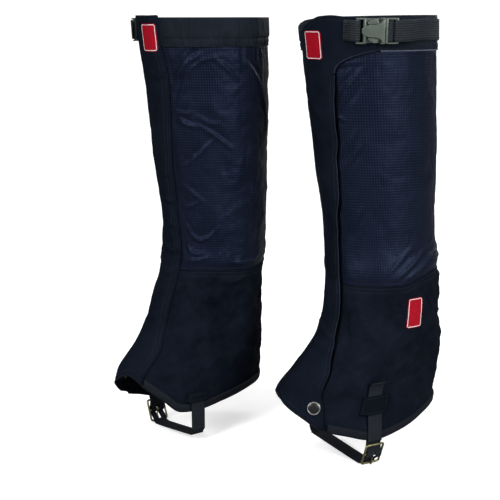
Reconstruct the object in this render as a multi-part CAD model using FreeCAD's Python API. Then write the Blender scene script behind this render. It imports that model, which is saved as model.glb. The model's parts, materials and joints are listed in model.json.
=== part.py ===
import FreeCAD, Part
import math
import os

V = FreeCAD.Vector

# ---------------------------------------------------------------------------
# Driving dimensions, millimetres and degrees.
#
# Row frame: origin at the bottom centre of the pair's bounding box, +Z up,
# toes toward -Y, the wearer's left at +X.
# Leg frame (one gaiter): origin on the ground below the ankle axis, toes
# toward -Y, +X is the outer side of the leg.  Angle "around" is 0 at the
# front of the leg, 90 at the outer side and 180 at the back.
# ---------------------------------------------------------------------------

LEG_SPACING = 164.0      # between the two leg axes, side to side
STRIDE_OFFSET = 125.0    # the right gaiter stands this far ahead of the left
TOE_IN = 4.0             # each gaiter is turned this far inward
ROW_SHIFT_X = 0.189
ROW_SHIFT_Y = 28.673
ROW_SHIFT_Z = -6.713

# height, half width, reach to the front, reach to the back, sideways shift
SECTIONS = [
    (20, 50, 155, 68, 9),
    (50, 50, 147, 69, 9),
    (93, 51, 134, 72, 9),
    (120, 52, 108, 73, 9.5),
    (135, 52.5, 95, 73, 10),
    (150, 53, 84, 72.5, 10.5),
    (170, 54, 75, 71, 10),
    (200, 56, 68, 69, 7),
    (230, 57, 65, 67, 4),
    (270, 58, 66, 66, 0),
    (350, 62, 77, 66, -2),
    (430, 67, 87, 63, -4),
    (530, 72, 99, 59, -5),
]

# how much less the front stands out on each gaiter, by height
TAKE_IN = {
    "left": [(20, 0.0), (530, 0.0)],
    "right": [(20, 12), (100, 12), (125, 10), (150, 6), (180, 3.5), (230, 6), (300, 7.5), (430, 8.5), (530, 5)],
}

# outlines on the wrapped surface, as (angle around, height)
HEM = [(-45, 69), (-31, 81), (-10, 93), (12, 83), (32, 71), (49, 57), (66, 49), (89, 39), (110, 45),
       (136, 57), (155, 61), (205, 62), (227, 61), (259, 55), (285, 49), (294, 50), (310, 65.5),
       (329, 81), (350, 93), (360, 89.5)]
PANEL_SEAM = [(0, 213), (80, 213), (100, 219), (127, 224), (180, 221), (264, 213), (310, 216), (360, 213)]
WING_BOTTOM = [(-25, 450), (20, 451), (26, 458), (42, 468), (54, 473), (66, 476)]

# lines that run up the gaiter, as (height, angle around)
INNER_SEAM = [(80, -26), (105, -29), (120, -28), (135, -23), (167, -18.5), (235, -19), (282, -12),
              (330, -12), (400, -15), (454, -16), (480, -13), (530, -13)]
FLAP_EDGE = [(58, 50), (82, 46), (97, 41), (110, 38), (120, 34.5), (132, 28), (143, 23.5), (163, 19),
             (185, 17), (216, 14), (242, 13), (287, 15.5), (322, 20), (370, 23.5), (422, 25.5),
             (460, 28), (530, 28)]

TOP_EDGE = 510.0         # top of the casing
FLAP_TOP = 512.0         # the flap stands a little higher
CASING_BOTTOM = 474.0
FRONT_EDGE = 1.0         # angle of the wrapped panels' front edge, under the flap
WING_END = 63.0          # angle where the wing ends, behind the top buckle

# the flap folds in two places, so it is made in three lengths
UPPER_FLAP_TOP = 446.0
UPPER_FLAP_BOTTOM = 205.0
LOWER_FLAP_TOP = 199.0

# layers, as distance outward from the inside face of the panels
PANEL_SKIN = (0.0, 1.2)
CASING_SKIN = (0.0, 2.4)
LOOP_SKIN = (1.5, 2.4)
HOOK_SKIN = (2.9, 3.8)
FLAP_SKIN = (4.4, 5.8)
SEAM_SKIN = (1.8, 3.2)   # the flap comes down to this at its sewn edge
LINER_SKIN = (-1.6, -0.5)

# top strap and side-release buckle
WEB_WIDTH = 23.0
WEB_THICK = 1.4
BUCKLE_HEIGHT = 496.0    # of the buckle's centre line
BUCKLE_AROUND = 63.0     # where the flat buckle is tangent to the leg
BUCKLE_STANDOFF = 9.6    # buckle mid plane, outward from the panel's inside face
BUCKLE_WIDTH = 27.0
BUCKLE_THICK = 7.4
FEMALE_BACK = -23.0
FEMALE_MOUTH = 8.0
MALE_FRONT = 8.4
MALE_BACK = 23.0
STRAP_END_PATH = [(87, 13.6), (92, 10.0), (97, 7.2), (102, 5.8), (107, 5.4), (112, 5.3)]  # angle, offset
ARM_ROOT = 7.9
ARM_OFFSET = 8.2         # latch arm's hinge, from the buckle's middle

# snap at the flap's lower corner
SNAP_AROUND = 39.0
SNAP_HEIGHT = 82.0
SNAP_CAP_RADIUS = 7.5

# instep strap and its frame buckle, in the leg frame
STRAP_WIDTH = 19.0
STRAP_THICK = 1.5
STRAP_Y = -46.0          # on the outer side
STRAP_SKEW = 0.09        # it runs forward toward the inner side
STRAP_SOLE_INNER = 18.0  # the arch is higher on the inner side
STRAP_SOLE_OUTER = 8.5
OUTER_PATCH = (-63.0, -28.0, 69.0, 90.5)    # front, rear, bottom, top
INNER_PATCH = (-69.5, -40.5, 59.5, 71.0)
FRAME_X = 59.0           # centre bar
FRAME_Z = 21.0
FRAME_LEAN = 22.0        # the frame leans outward going up
FRAME_PITCH = 11.5       # between bars
FRAME_HALF_WIDTH = 11.7  # to the middle of its uprights
FRAME_THICK = 2.4
RIM_WIDTH = 2.6
CENTRE_BAR_WIDTH = 2.4
FRAME_CORNER = 3.5
EDGE_ROUNDING = 0.9
EYE_BORE = 1.45          # prong's eye, clear of the bar's rounded corners
EYE_RADIUS = 2.4
STRAP_OVER_BAR = 3.7     # strap centre line, out from the centre bar
STRAP_BEHIND_BAR = 3.4   # strap centre line, in from the outer bars

# woven labels, as angles around and heights
FRONT_LABEL = {"left": (-3, 19, 464.5, 496.5), "right": (-10, 12, 471.5, 503.5)}
SIDE_LABEL = (86, 103, 164, 198)

SIDES = ("left", "right")
gaiter = {"side": "left"}    # the one being built


# ---------------------------------------------------------------------------
# The wrapped surface
# ---------------------------------------------------------------------------

def along(stations, at, column=1):
    """Smooth curve through a list of stations, flat at its turning points."""
    last = len(stations) - 1
    at = min(max(at, stations[0][0]), stations[last][0])
    i = 0
    while i < last - 1 and at > stations[i + 1][0]:
        i += 1

    def slope(k):
        return (stations[k + 1][column] - stations[k][column]) / float(stations[k + 1][0] - stations[k][0])

    def tangent(k):
        if k == 0:
            return slope(0)
        if k == last:
            return slope(last - 1)
        before, after = slope(k - 1), slope(k)
        if before * after <= 0:
            return 0.0
        return 2.0 * before * after / (before + after)

    width = float(stations[i + 1][0] - stations[i][0])
    t = (at - stations[i][0]) / width
    a, b = stations[i][column], stations[i + 1][column]
    ta, tb = tangent(i) * width, tangent(i + 1) * width
    return (a * (1 + 2 * t) * (1 - t) ** 2 + ta * t * (1 - t) ** 2
            + b * t * t * (3 - 2 * t) + tb * t * t * (t - 1))


def base_point(around, height):
    """Inside face of the panels: an oval whose size and place change with height."""
    half_width = along(SECTIONS, height, 1)
    front = along(SECTIONS, height, 2) - along(TAKE_IN[gaiter["side"]], height)
    back = along(SECTIONS, height, 3)
    shift = along(SECTIONS, height, 4)
    a = math.radians(around)
    x = shift + half_width * math.sin(a)
    y = (back - front) / 2.0 - (front + back) / 2.0 * math.cos(a)
    return V(x, y, height)


def outward(around, height):
    """Unit normal of the wrapped surface, pointing away from the leg."""
    step = 0.5
    across = base_point(around + step, height) - base_point(around - step, height)
    up = base_point(around, height + step) - base_point(around, height - step)
    normal = across.cross(up)
    normal.normalize()
    return normal


def skin_point(around, height, offset):
    return base_point(around, height) + outward(around, height) * offset


def value(thing, *args):
    return thing(*args) if callable(thing) else thing


def solid_from_faces(faces):
    shell = Part.makeShell(faces)
    shell.sewShape()
    solid = Part.makeSolid(shell)
    if solid.Volume < 0:
        solid.reverse()
    return solid


def sheet(first, last, bottom, top, skin, n_around, n_up):
    """A piece of cloth on the wrapped surface.

    first and last are its edges around the leg (angle, or function of height),
    bottom and top its lower and upper edges (height, or function of angle),
    skin its inner and outer distance from the surface (may be a function).
    """
    def corner(side, end):
        around, height = 0.0, 200.0
        for _ in range(40):
            around = 0.5 * around + 0.5 * value(side, height)
            height = 0.5 * height + 0.5 * value(end, around)
        return value(side, height), height

    corners = {(0, 0): corner(first, bottom), (1, 0): corner(last, bottom),
               (0, 1): corner(first, top), (1, 1): corner(last, top)}

    def place(s, t):
        """Blend of the four edges, so that rows and columns stay smooth."""
        low = (1 - s) * corners[0, 0][0] + s * corners[1, 0][0]
        high = (1 - s) * corners[0, 1][0] + s * corners[1, 1][0]
        left = (1 - t) * corners[0, 0][1] + t * corners[0, 1][1]
        right = (1 - t) * corners[1, 0][1] + t * corners[1, 1][1]
        edges = ((low, value(bottom, low)), (high, value(top, high)),
                 (value(first, left), left), (value(last, right), right))
        weights = (1 - t, t, 1 - s, s)
        point = []
        for axis in range(2):
            total = sum(weights[k] * edges[k][axis] for k in range(4))
            for (i, j), spot in corners.items():
                total -= (s if i else 1 - s) * (t if j else 1 - t) * spot[axis]
            point.append(total)
        return point

    grids = ([], [])
    for i in range(n_around + 1):
        rows = ([], [])
        for j in range(n_up + 1):
            around, height = place(i / float(n_around), j / float(n_up))
            offsets = value(skin, around, height)
            for k in range(2):
                rows[k].append(skin_point(around, height, offsets[k]))
        for k in range(2):
            grids[k].append(rows[k])
    surfaces = []
    for grid in grids:
        surface = Part.BSplineSurface()
        surface.interpolate(grid)
        surfaces.append(surface)
    faces = [surface.toShape() for surface in surfaces]
    low, high = surfaces
    u0, u1, v0, v1 = low.bounds()
    for pick, at in (("uIso", 0), ("uIso", 1), ("vIso", 0), ("vIso", 1)):
        edges = []
        for surface in surfaces:
            bounds = surface.bounds()
            limits = bounds[0:2] if pick == "uIso" else bounds[2:4]
            edges.append(getattr(surface, pick)(limits[at]).toShape())
        faces.append(Part.makeRuledSurface(edges[0], edges[1], 1))
    return solid_from_faces(faces)


def stud(around, height, start, end, radius):
    """Cylinder along the surface normal, from one distance out to another."""
    normal = outward(around, height)
    base = skin_point(around, height, start)
    return Part.makeCylinder(radius, end - start, base, normal)


# ---------------------------------------------------------------------------
# Straps: a centre line drawn in one plane, thickened, and given a width
# ---------------------------------------------------------------------------

def arc(centre, radius, start, end, steps):
    """Points on an arc, angles in degrees."""
    points = []
    for k in range(steps + 1):
        a = math.radians(start + (end - start) * k / float(steps))
        points.append((centre[0] + radius * math.cos(a), centre[1] + radius * math.sin(a)))
    return points


def band(points, thickness, width, to_space):
    """Thicken a plane centre line and extrude it by width across the plane."""
    left, right = [], []
    count = len(points)
    for k in range(count):
        before = points[max(k - 1, 0)]
        after = points[min(k + 1, count - 1)]
        here = points[k]
        d1 = (here[0] - before[0], here[1] - before[1]) if k > 0 else (after[0] - here[0], after[1] - here[1])
        d2 = (after[0] - here[0], after[1] - here[1]) if k < count - 1 else d1
        n1 = (-d1[1] / math.hypot(*d1), d1[0] / math.hypot(*d1))
        n2 = (-d2[1] / math.hypot(*d2), d2[0] / math.hypot(*d2))
        mid = (n1[0] + n2[0], n1[1] + n2[1])
        size = math.hypot(*mid)
        mid = (mid[0] / size, mid[1] / size)
        reach = thickness / 2.0 / max(mid[0] * n1[0] + mid[1] * n1[1], 0.5)
        left.append((here[0] + mid[0] * reach, here[1] + mid[1] * reach))
        right.append((here[0] - mid[0] * reach, here[1] - mid[1] * reach))
    loop = left + right[::-1]
    near = [to_space(a, b, -width / 2.0) for a, b in loop]
    far = to_space(loop[0][0], loop[0][1], width / 2.0)
    near.append(near[0])
    face = Part.Face(Part.makePolygon(near))
    return face.extrude(far - near[0])


def buckle_axes():
    """Buckle frame: X along the strap toward the back, Y toward the leg, Z up the leg."""
    normal = outward(BUCKLE_AROUND, BUCKLE_HEIGHT)
    along_strap = V(-normal.y, normal.x, 0)
    along_strap.normalize()
    origin = base_point(BUCKLE_AROUND, BUCKLE_HEIGHT) + normal * BUCKLE_STANDOFF
    inward = normal * -1.0
    return origin, along_strap, inward, along_strap.cross(inward)


def to_leg(shape):
    """Move a shape drawn in the buckle frame to the leg frame."""
    origin, ax, ay, az = buckle_axes()
    matrix = FreeCAD.Matrix(ax.x, ay.x, az.x, origin.x,
                            ax.y, ay.y, az.y, origin.y,
                            ax.z, ay.z, az.z, origin.z,
                            0, 0, 0, 1)
    moved = shape.copy()
    moved.Placement = FreeCAD.Placement(matrix)
    return moved


def in_buckle(point):
    """Leg-frame point in buckle-frame plan coordinates."""
    origin, ax, ay, az = buckle_axes()
    d = point - origin
    return d.dot(ax), d.dot(ay)


def plan_space(a, b, across):
    """Buckle-frame point, with the strap's width up the leg."""
    origin, ax, ay, az = buckle_axes()
    return origin + ax * a + ay * b + az * across


def side_space(a, b, across):
    """Instep strap: plane of x and z, with the strap's width along y."""
    return V(a, strap_middle(a) + across, b)


def box(x0, x1, y0, y1, z0, z1):
    return Part.makeBox(x1 - x0, y1 - y0, z1 - z0, V(x0, y0, z0))


def rounded_box(x0, x1, y0, y1, z0, z1, radius):
    shape = box(x0, x1, y0, y1, z0, z1)
    return shape.makeFillet(radius, shape.Edges)


# ---------------------------------------------------------------------------
# Cloth pieces
# ---------------------------------------------------------------------------

def hem(around):
    return along(HEM, around)


def panel_seam(around):
    return along(PANEL_SEAM, around)


def inner_seam(height):
    return along(INNER_SEAM, height)


def flap_edge(height):
    return along(FLAP_EDGE, height)


def flap_skin(around, height):
    """The flap lies over the tapes and comes down to the panel at its sewn seam."""
    t = (around - inner_seam(height)) / 14.0
    t = min(max(t, 0.0), 1.0)
    t = t * t * (3 - 2 * t)
    return tuple(SEAM_SKIN[k] + (FLAP_SKIN[k] - SEAM_SKIN[k]) * t for k in range(2))


def make_upper_panel():
    return sheet(FRONT_EDGE, lambda z: 360 + inner_seam(z) - 0.5,
                 lambda a: panel_seam(a) + 0.3, CASING_BOTTOM - 0.3, PANEL_SKIN, 40, 24)


def make_lower_panel():
    panel = sheet(FRONT_EDGE, lambda z: 360 + inner_seam(z) - 0.5,
                  hem, lambda a: panel_seam(a) - 0.3, PANEL_SKIN, 48, 22)
    return panel.cut(stud(SNAP_AROUND, SNAP_HEIGHT, -3, 6, 1.8))


def make_top_casing():
    return sheet(8.0, lambda z: 360 + inner_seam(z) - 0.5, CASING_BOTTOM + 0.3, TOP_EDGE, CASING_SKIN, 40, 4)


def make_flap_wing():
    return sheet(lambda z: inner_seam(z) + 0.5, WING_END, lambda a: along(WING_BOTTOM, a), FLAP_TOP,
                 flap_skin, 16, 6)


def make_flap_upper():
    return sheet(lambda z: inner_seam(z) + 0.5, flap_edge, UPPER_FLAP_BOTTOM, UPPER_FLAP_TOP, flap_skin, 10, 24)


def make_flap_lower():
    flap = sheet(lambda z: inner_seam(z) + 0.5, flap_edge, lambda a: hem(a) - 1.0, LOWER_FLAP_TOP,
                 flap_skin, 14, 20)
    return flap.cut(stud(SNAP_AROUND, SNAP_HEIGHT, 3, 9, 1.8))


def make_placket_facing():
    return sheet(FRONT_EDGE + 0.5, lambda z: flap_edge(z) - 1, 112, 468, LINER_SKIN, 5, 44)


def make_loop_tape():
    return sheet(FRONT_EDGE + 1.5, lambda z: flap_edge(z) - 2, 112, 444, LOOP_SKIN, 5, 40)


def make_hook_tape_upper():
    return sheet(FRONT_EDGE + 1.5, lambda z: flap_edge(z) - 2.5, UPPER_FLAP_BOTTOM + 2, 440, HOOK_SKIN, 5, 28)


def make_hook_tape_lower():
    return sheet(FRONT_EDGE + 1.5, lambda z: flap_edge(z) - 2.5, 116, LOWER_FLAP_TOP - 2, HOOK_SKIN, 5, 14)


def make_hem_binding():
    """Folded tape sewn over the lower edge; it ends each side of the flap."""
    return sheet(lambda z: 53.0, lambda z: 360 + inner_seam(90) - 1.0,
                 lambda a: hem(a) - 0.6, lambda a: hem(a) + 8.0, (1.6, 2.4), 44, 3)


def make_ankle_elastic():
    return sheet(24.0, 330.0, lambda a: panel_seam(a) - 10, lambda a: panel_seam(a) + 2, LINER_SKIN, 40, 3)


def around_at(y, height, inner_side):
    """Angle at which the wrapped surface passes a given y."""
    front = base_point(0.0, height).y
    back = base_point(180.0, height).y
    around = math.degrees(math.acos((front + back - 2 * y) / (back - front)))
    return 360.0 - around if inner_side else around


def strap_middle(x):
    return STRAP_Y + STRAP_SKEW * (x - FRAME_X)


def strap_x(edge_side, height, standoff, inner_side):
    """Strap's middle plane, clear of the surface where that bulges most across the strap."""
    edge = strap_middle(-44.0 if inner_side else 60.0) + edge_side * STRAP_WIDTH / 2.0
    surface = base_point(around_at(edge, height, inner_side), height).x
    return surface - standoff if inner_side else surface + standoff


def tunnel_x():
    return strap_x(1, 78.0, 2.6, False)


def inner_strap_x():
    return strap_x(1, 66.0, 3.3, True)


def make_strap_patches():
    """Outer patch, with the strap's tail under it, and inner patch over the strap's sewn end."""
    def patch(limits, middle, plane, inner_side):
        def layers(around, height):
            here = base_point(around, height)
            over_strap = (plane - here.x) / outward(around, height).x
            beside = abs(here.y - middle) - STRAP_WIDTH / 2.0 - 0.6
            t = min(max(beside / 4.2, 0.0), 1.0)
            low = 1.75 + (over_strap - 1.75) * (1 - t * t * (3 - 2 * t))
            return low, low + 1.1
        front, rear, bottom, top = limits
        ends = [around_at(front, 0.5 * (bottom + top), inner_side),
                around_at(rear, 0.5 * (bottom + top), inner_side)]
        return sheet(min(ends), max(ends), bottom, top, layers, 36, 4)
    gap = STRAP_THICK / 2.0 + 0.4
    outer = patch(OUTER_PATCH, strap_middle(60.0), tunnel_x() + gap, False)
    inner = patch(INNER_PATCH, strap_middle(-44.0), inner_strap_x() - gap, True)
    return Part.makeCompound([outer, inner])


def make_woven_labels():
    def over_flap(around, height):
        outside = flap_skin(around, height)[1]
        return outside + 0.1, outside + 0.8
    front = sheet(*(FRONT_LABEL[gaiter["side"]] + (over_flap, 6, 4)))
    side = sheet(*(SIDE_LABEL + ((1.3, 2.0), 6, 4)))
    return Part.makeCompound([front, side])


# ---------------------------------------------------------------------------
# Top strap and side-release buckle
# ---------------------------------------------------------------------------

def make_top_webbing():
    low = BUCKLE_HEIGHT - WEB_WIDTH / 2.0
    return sheet(84.0, 150.0, low, low + WEB_WIDTH, (2.6, 2.6 + WEB_THICK), 14, 2)


def make_webbing_tab():
    """Strap sewn to the wing and looped round the bar of the buckle's socket half."""
    path = []
    for k in range(4):
        path.append(in_buckle(skin_point(38.0 + 1.2 * k, BUCKLE_HEIGHT, FLAP_SKIN[1] + 1.5)))
    bar = (FEMALE_BACK + 1.5, 0.0)
    path += [(bar[0] - 3.0, 3.2)]
    path += arc(bar, 2.8, 95, -90, 12)
    path += [(bar[0] - 3.0, -2.0), (bar[0] - 7.0, 1.4)]
    tab = band(path, WEB_THICK, WEB_WIDTH - 1.0, plan_space)
    return tab


def make_buckle_female():
    half = BUCKLE_WIDTH / 2.0
    thick = BUCKLE_THICK / 2.0
    body = rounded_box(FEMALE_BACK, FEMALE_MOUTH, -thick, thick, -half, half, 1.4)
    body = body.cut(box(-13.0, FEMALE_MOUTH + 1, -2.3, 2.3, -half - 1, half + 1))
    slot = box(FEMALE_BACK + 3.0, FEMALE_BACK + 8.0, -thick - 1, thick + 1, -half + 1.4, half - 1.4)
    body = body.cut(slot)
    relief = box(FEMALE_BACK - 1, FEMALE_BACK + 3.5, -thick - 1, -1.1, -half + 1.4, half - 1.4)
    body = body.cut(relief)
    relief = box(FEMALE_BACK - 1, FEMALE_BACK + 3.5, 1.1, thick + 1, -half + 1.4, half - 1.4)
    return to_leg(body.cut(relief))


def make_buckle_male():
    half = BUCKLE_WIDTH / 2.0
    frame = rounded_box(MALE_FRONT, MALE_BACK, -3.2, 3.2, -half, half, 1.2)
    slot = box(MALE_FRONT + 5.5, MALE_BACK - 3.2, -5, 5, -half + 1.4, half - 1.4)
    frame = frame.cut(slot)
    for low, high in ((-5, -1.1), (1.1, 5)):
        frame = frame.cut(box(MALE_BACK - 3.6, MALE_BACK + 1, low, high, -half + 1.4, half - 1.4))
    guide = box(-9.0, MALE_FRONT + 0.6, -1.5, 1.5, -2.0, 2.0)
    return to_leg(frame.fuse(guide).removeSplitter())


def make_latch_arm(up):
    """Springy arm with a hooked head; up is +1 for the upper arm, -1 for the lower."""
    outline = [(ARM_ROOT, 7.0), (ARM_ROOT, 9.4), (1.0, 9.0), (0.6, 12.4), (-3.5, 12.8),
               (-9.0, 9.6), (-10.5, 7.2), (-8.0, 6.4), (-2.0, 6.8)]
    points = [V(x, -1.5, up * z) for x, z in outline]
    points.append(points[0])
    arm = Part.Face(Part.makePolygon(points)).extrude(V(0, 3.0, 0))
    return to_leg(arm)


def make_strap_end():
    """Strap looped round the bar of the buckle's plug half, lying over the top strap."""
    bar = (MALE_BACK - 1.6, 0.0)
    path = arc(bar, 2.7, 75, 262, 10)
    for around, offset in STRAP_END_PATH:
        path.append(in_buckle(skin_point(around, BUCKLE_HEIGHT, offset)))
    return band(path, WEB_THICK, WEB_WIDTH, plan_space)


# ---------------------------------------------------------------------------
# Snap and lace hook
# ---------------------------------------------------------------------------

def make_snap_post():
    flange = stud(SNAP_AROUND, SNAP_HEIGHT, -1.5, -0.6, 4.5)
    shank = stud(SNAP_AROUND, SNAP_HEIGHT, -0.7, 2.2, 1.5)
    return flange.fuse(shank).removeSplitter()


def make_snap_stud():
    base = stud(SNAP_AROUND, SNAP_HEIGHT, 1.4, 1.9, 4.0)
    knob = stud(SNAP_AROUND, SNAP_HEIGHT, 1.8, 3.5, 2.2)
    bore = stud(SNAP_AROUND, SNAP_HEIGHT, 1.0, 2.4, 1.6)
    return base.fuse(knob).cut(bore).removeSplitter()


def make_snap_socket():
    disc = stud(SNAP_AROUND, SNAP_HEIGHT, 2.3, 4.0, 6.0)
    cavity = stud(SNAP_AROUND, SNAP_HEIGHT, 2.0, 3.7, 4.6)
    bore = stud(SNAP_AROUND, SNAP_HEIGHT, 2.0, 5.0, 1.6)
    return disc.cut(cavity).cut(bore)


def make_snap_cap():
    normal = outward(SNAP_AROUND, SNAP_HEIGHT)
    dome_radius = 14.0
    rise = dome_radius - math.sqrt(dome_radius ** 2 - SNAP_CAP_RADIUS ** 2)
    start = FLAP_SKIN[1] + 0.3
    rim = stud(SNAP_AROUND, SNAP_HEIGHT, start, start + 4.0, SNAP_CAP_RADIUS)
    centre = skin_point(SNAP_AROUND, SNAP_HEIGHT, start + 0.8 + rise) - normal * dome_radius
    cap = rim.common(Part.makeSphere(dome_radius, centre))
    shank = stud(SNAP_AROUND, SNAP_HEIGHT, 3.9, start + 0.1, 1.5)
    return cap.fuse(shank).removeSplitter()


def make_lace_hook():
    """Flat steel hook inside the front of the hem, for the boot's laces."""
    around = 8.0
    top = skin_point(around, 108.0, -2.0)
    low = skin_point(around, 97.0, -2.0)
    down = low - top
    down.normalize()
    inward = outward(around, 100.0) * -1.0
    inward = inward - down * inward.dot(down)
    inward.normalize()
    across = down.cross(inward)

    def space(a, b, w):
        return top + down * a + inward * b + across * w
    path = [(0.0, 0.0), (17.0, 0.0)]
    path += arc((17.0, 3.2), 3.2, -90, 80, 10)[1:]
    path += [(14.5, 6.6)]
    return band(path, 1.0, 6.0, space)


# ---------------------------------------------------------------------------
# Instep strap and frame buckle
# ---------------------------------------------------------------------------

def frame_axes():
    lean = math.radians(FRAME_LEAN)
    up = (math.sin(lean), math.cos(lean))
    out = (math.cos(lean), -math.sin(lean))
    return up, out


def frame_point(s, n):
    """Point s up the frame and n outward from its plane, as x and z."""
    up, out = frame_axes()
    return (FRAME_X + up[0] * s + out[0] * n, FRAME_Z + up[1] * s + out[1] * n)


def make_instep_frame():
    """Cast frame: a rounded plate with a window each side of its centre bar."""
    half_across = FRAME_HALF_WIDTH + RIM_WIDTH / 2.0
    half_up = FRAME_PITCH + RIM_WIDTH / 2.0

    def rounded_plate(y0, y1, z0, z1, half_depth, radius):
        plate = box(y0, y1, z0, z1, -half_depth, half_depth)
        upright = [edge for edge in plate.Edges if edge.BoundBox.ZLength > half_depth]
        return plate.makeFillet(radius, upright)

    frame = rounded_plate(-half_across, half_across, -half_up, half_up, FRAME_THICK / 2.0, FRAME_CORNER)
    window = FRAME_HALF_WIDTH - RIM_WIDTH / 2.0
    near, far = CENTRE_BAR_WIDTH / 2.0, FRAME_PITCH - RIM_WIDTH / 2.0
    for low, high in ((near, far), (-far, -near)):
        frame = frame.cut(rounded_plate(-window, window, low, high, FRAME_THICK, 1.2))
    flat = [edge for edge in frame.Edges if edge.BoundBox.ZLength < 0.001]
    frame = frame.makeFillet(EDGE_ROUNDING, flat)
    up, out = frame_axes()
    matrix = FreeCAD.Matrix(0, up[0], out[0], FRAME_X,
                            1, 0, 0, STRAP_Y,
                            0, up[1], out[1], FRAME_Z,
                            0, 0, 0, 1)
    frame.Placement = FreeCAD.Placement(matrix)
    return frame


def make_prong():
    """Prong with an eye round the centre bar; its tip lies on the lower bar."""
    x, z = frame_point(0.0, 0.0)
    start = V(x, STRAP_Y - 1.4, z)
    eye = Part.makeCylinder(EYE_RADIUS, 2.8, start, V(0, 1, 0))
    tip = frame_point(-FRAME_PITCH - 1.8, FRAME_THICK / 2.0 + 1.35)
    root = frame_point(-1.0, 1.2)
    direction = V(tip[0] - root[0], 0, tip[1] - root[1])
    root_point = V(root[0], STRAP_Y, root[1])
    rod = Part.makeCylinder(1.0, direction.Length, root_point, direction)
    rod = rod.fuse(Part.makeSphere(1.0, root_point + direction))
    hole = Part.makeCylinder(EYE_BORE, 4.0, V(x, STRAP_Y - 2.0, z), V(0, 1, 0))
    return eye.fuse(rod).cut(hole).removeSplitter()


def make_frame_tab():
    """Strap sewn inside the hem and looped round the frame's centre bar."""
    bar = frame_point(0.0, 0.0)
    front_edge = STRAP_Y - STRAP_WIDTH / 2.0
    inner = base_point(around_at(front_edge, 45.0, False), 45.0).x - 1.1
    path = [(inner, 68.0), (inner, 41.0), frame_point(FRAME_PITCH + 2.5, -6.4), frame_point(5.0, -3.4)]
    path += arc(bar, 2.05, 180 - FRAME_LEAN - 10, 180 - FRAME_LEAN + 250, 16)
    tab = band(path, 0.9, STRAP_WIDTH - 1.0, side_space)
    low = frame_point(0.0, 0.0)
    notch = box(low[0] - 5.0, low[0] + 6.0, STRAP_Y - 2.2, STRAP_Y + 2.2, low[1] - 5.0, low[1] + 4.0)
    return tab.cut(notch)


def make_instep_strap():
    """Strap from the inner side, under the boot, through the frame and up under the patch."""
    outer_hem = strap_x(1, 42.0, 3.7, False)
    tunnel = tunnel_x()
    inner_side = inner_strap_x()
    path = [(inner_side, 69.5), (inner_side, STRAP_SOLE_INNER + 10.0)]
    path += arc((inner_side + 10.0, STRAP_SOLE_INNER + 10.0), 10.0, 180, 262, 8)[1:]
    path += [(36.0, STRAP_SOLE_OUTER), frame_point(-FRAME_PITCH - 3.0, -STRAP_BEHIND_BAR - 1.2)]
    path += [frame_point(-FRAME_PITCH, -STRAP_BEHIND_BAR), frame_point(-FRAME_PITCH + 2.5, -2.6)]
    path += [frame_point(-2.2, STRAP_OVER_BAR - 0.5), frame_point(0.0, STRAP_OVER_BAR)]
    path += [frame_point(2.2, STRAP_OVER_BAR - 0.5)]
    path += [frame_point(FRAME_PITCH - 2.5, -2.6), frame_point(FRAME_PITCH, -STRAP_BEHIND_BAR)]
    path += [frame_point(FRAME_PITCH + 3.0, -STRAP_BEHIND_BAR), (outer_hem, 38.0), (outer_hem, 52.0)]
    path += [(tunnel, 66.0), (tunnel, 92.0), (tunnel + 0.8, 98.0), (tunnel + 3.0, 103.5), (tunnel + 6.5, 107.0)]
    strap = band(path, STRAP_THICK, STRAP_WIDTH, side_space)
    slot_low = frame_point(-10.0, -6.0)
    slot_high = frame_point(3.0, 6.0)
    slot = box(slot_low[0] - 6.0, slot_high[0] + 6.0, STRAP_Y - 1.8, STRAP_Y + 1.8, slot_low[1], slot_high[1])
    return strap.cut(slot)


# ---------------------------------------------------------------------------
# Put one gaiter together, place both, write every piece
# ---------------------------------------------------------------------------

def make_gaiter():
    return {
        "upper_panel": make_upper_panel(),
        "lower_panel": make_lower_panel(),
        "top_casing": make_top_casing(),
        "flap_wing": make_flap_wing(),
        "flap_upper": make_flap_upper(),
        "flap_lower": make_flap_lower(),
        "placket_facing": make_placket_facing(),
        "loop_tape": make_loop_tape(),
        "hook_tape_upper": make_hook_tape_upper(),
        "hook_tape_lower": make_hook_tape_lower(),
        "hem_binding": make_hem_binding(),
        "ankle_elastic": make_ankle_elastic(),
        "strap_patches": make_strap_patches(),
        "woven_labels": make_woven_labels(),
        "top_webbing": make_top_webbing(),
        "webbing_tab": make_webbing_tab(),
        "buckle_female": make_buckle_female(),
        "buckle_male": make_buckle_male(),
        "latch_arm_upper": make_latch_arm(1),
        "latch_arm_lower": make_latch_arm(-1),
        "strap_end": make_strap_end(),
        "snap_post": make_snap_post(),
        "snap_stud": make_snap_stud(),
        "snap_socket": make_snap_socket(),
        "snap_cap": make_snap_cap(),
        "lace_hook": make_lace_hook(),
        "instep_frame": make_instep_frame(),
        "prong": make_prong(),
        "frame_tab": make_frame_tab(),
        "instep_strap": make_instep_strap(),
    }


def place_in_row(shape, side):
    """Leg frame to row frame; the right gaiter is the left one mirrored."""
    placed = shape.copy()
    sign = 1.0
    if side == "right":
        placed = placed.mirror(V(0, 0, 0), V(1, 0, 0))
        sign = -1.0
    placed.rotate(V(0, 0, 0), V(0, 0, 1), -sign * TOE_IN)
    placed.translate(V(sign * LEG_SPACING / 2.0 + ROW_SHIFT_X, sign * STRIDE_OFFSET / 2.0 + ROW_SHIFT_Y, ROW_SHIFT_Z))
    return placed


os.makedirs("parts", exist_ok=True)
for side in SIDES:
    gaiter["side"] = side
    pieces = make_gaiter()
    for name in sorted(pieces):
        shape = pieces[name]
        state = "ok" if shape.isValid() else "NOT VALID"
        print("%-5s %-16s %8.2f cm3  %d solid  %s"
              % (side, name, shape.Volume / 1000.0, len(shape.Solids), state))
        place_in_row(shape, side).exportStep("parts/%s_%s.step" % (side, name))
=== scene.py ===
import bpy
import bmesh
import json
import math
import numpy as np
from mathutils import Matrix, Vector, noise


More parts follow.
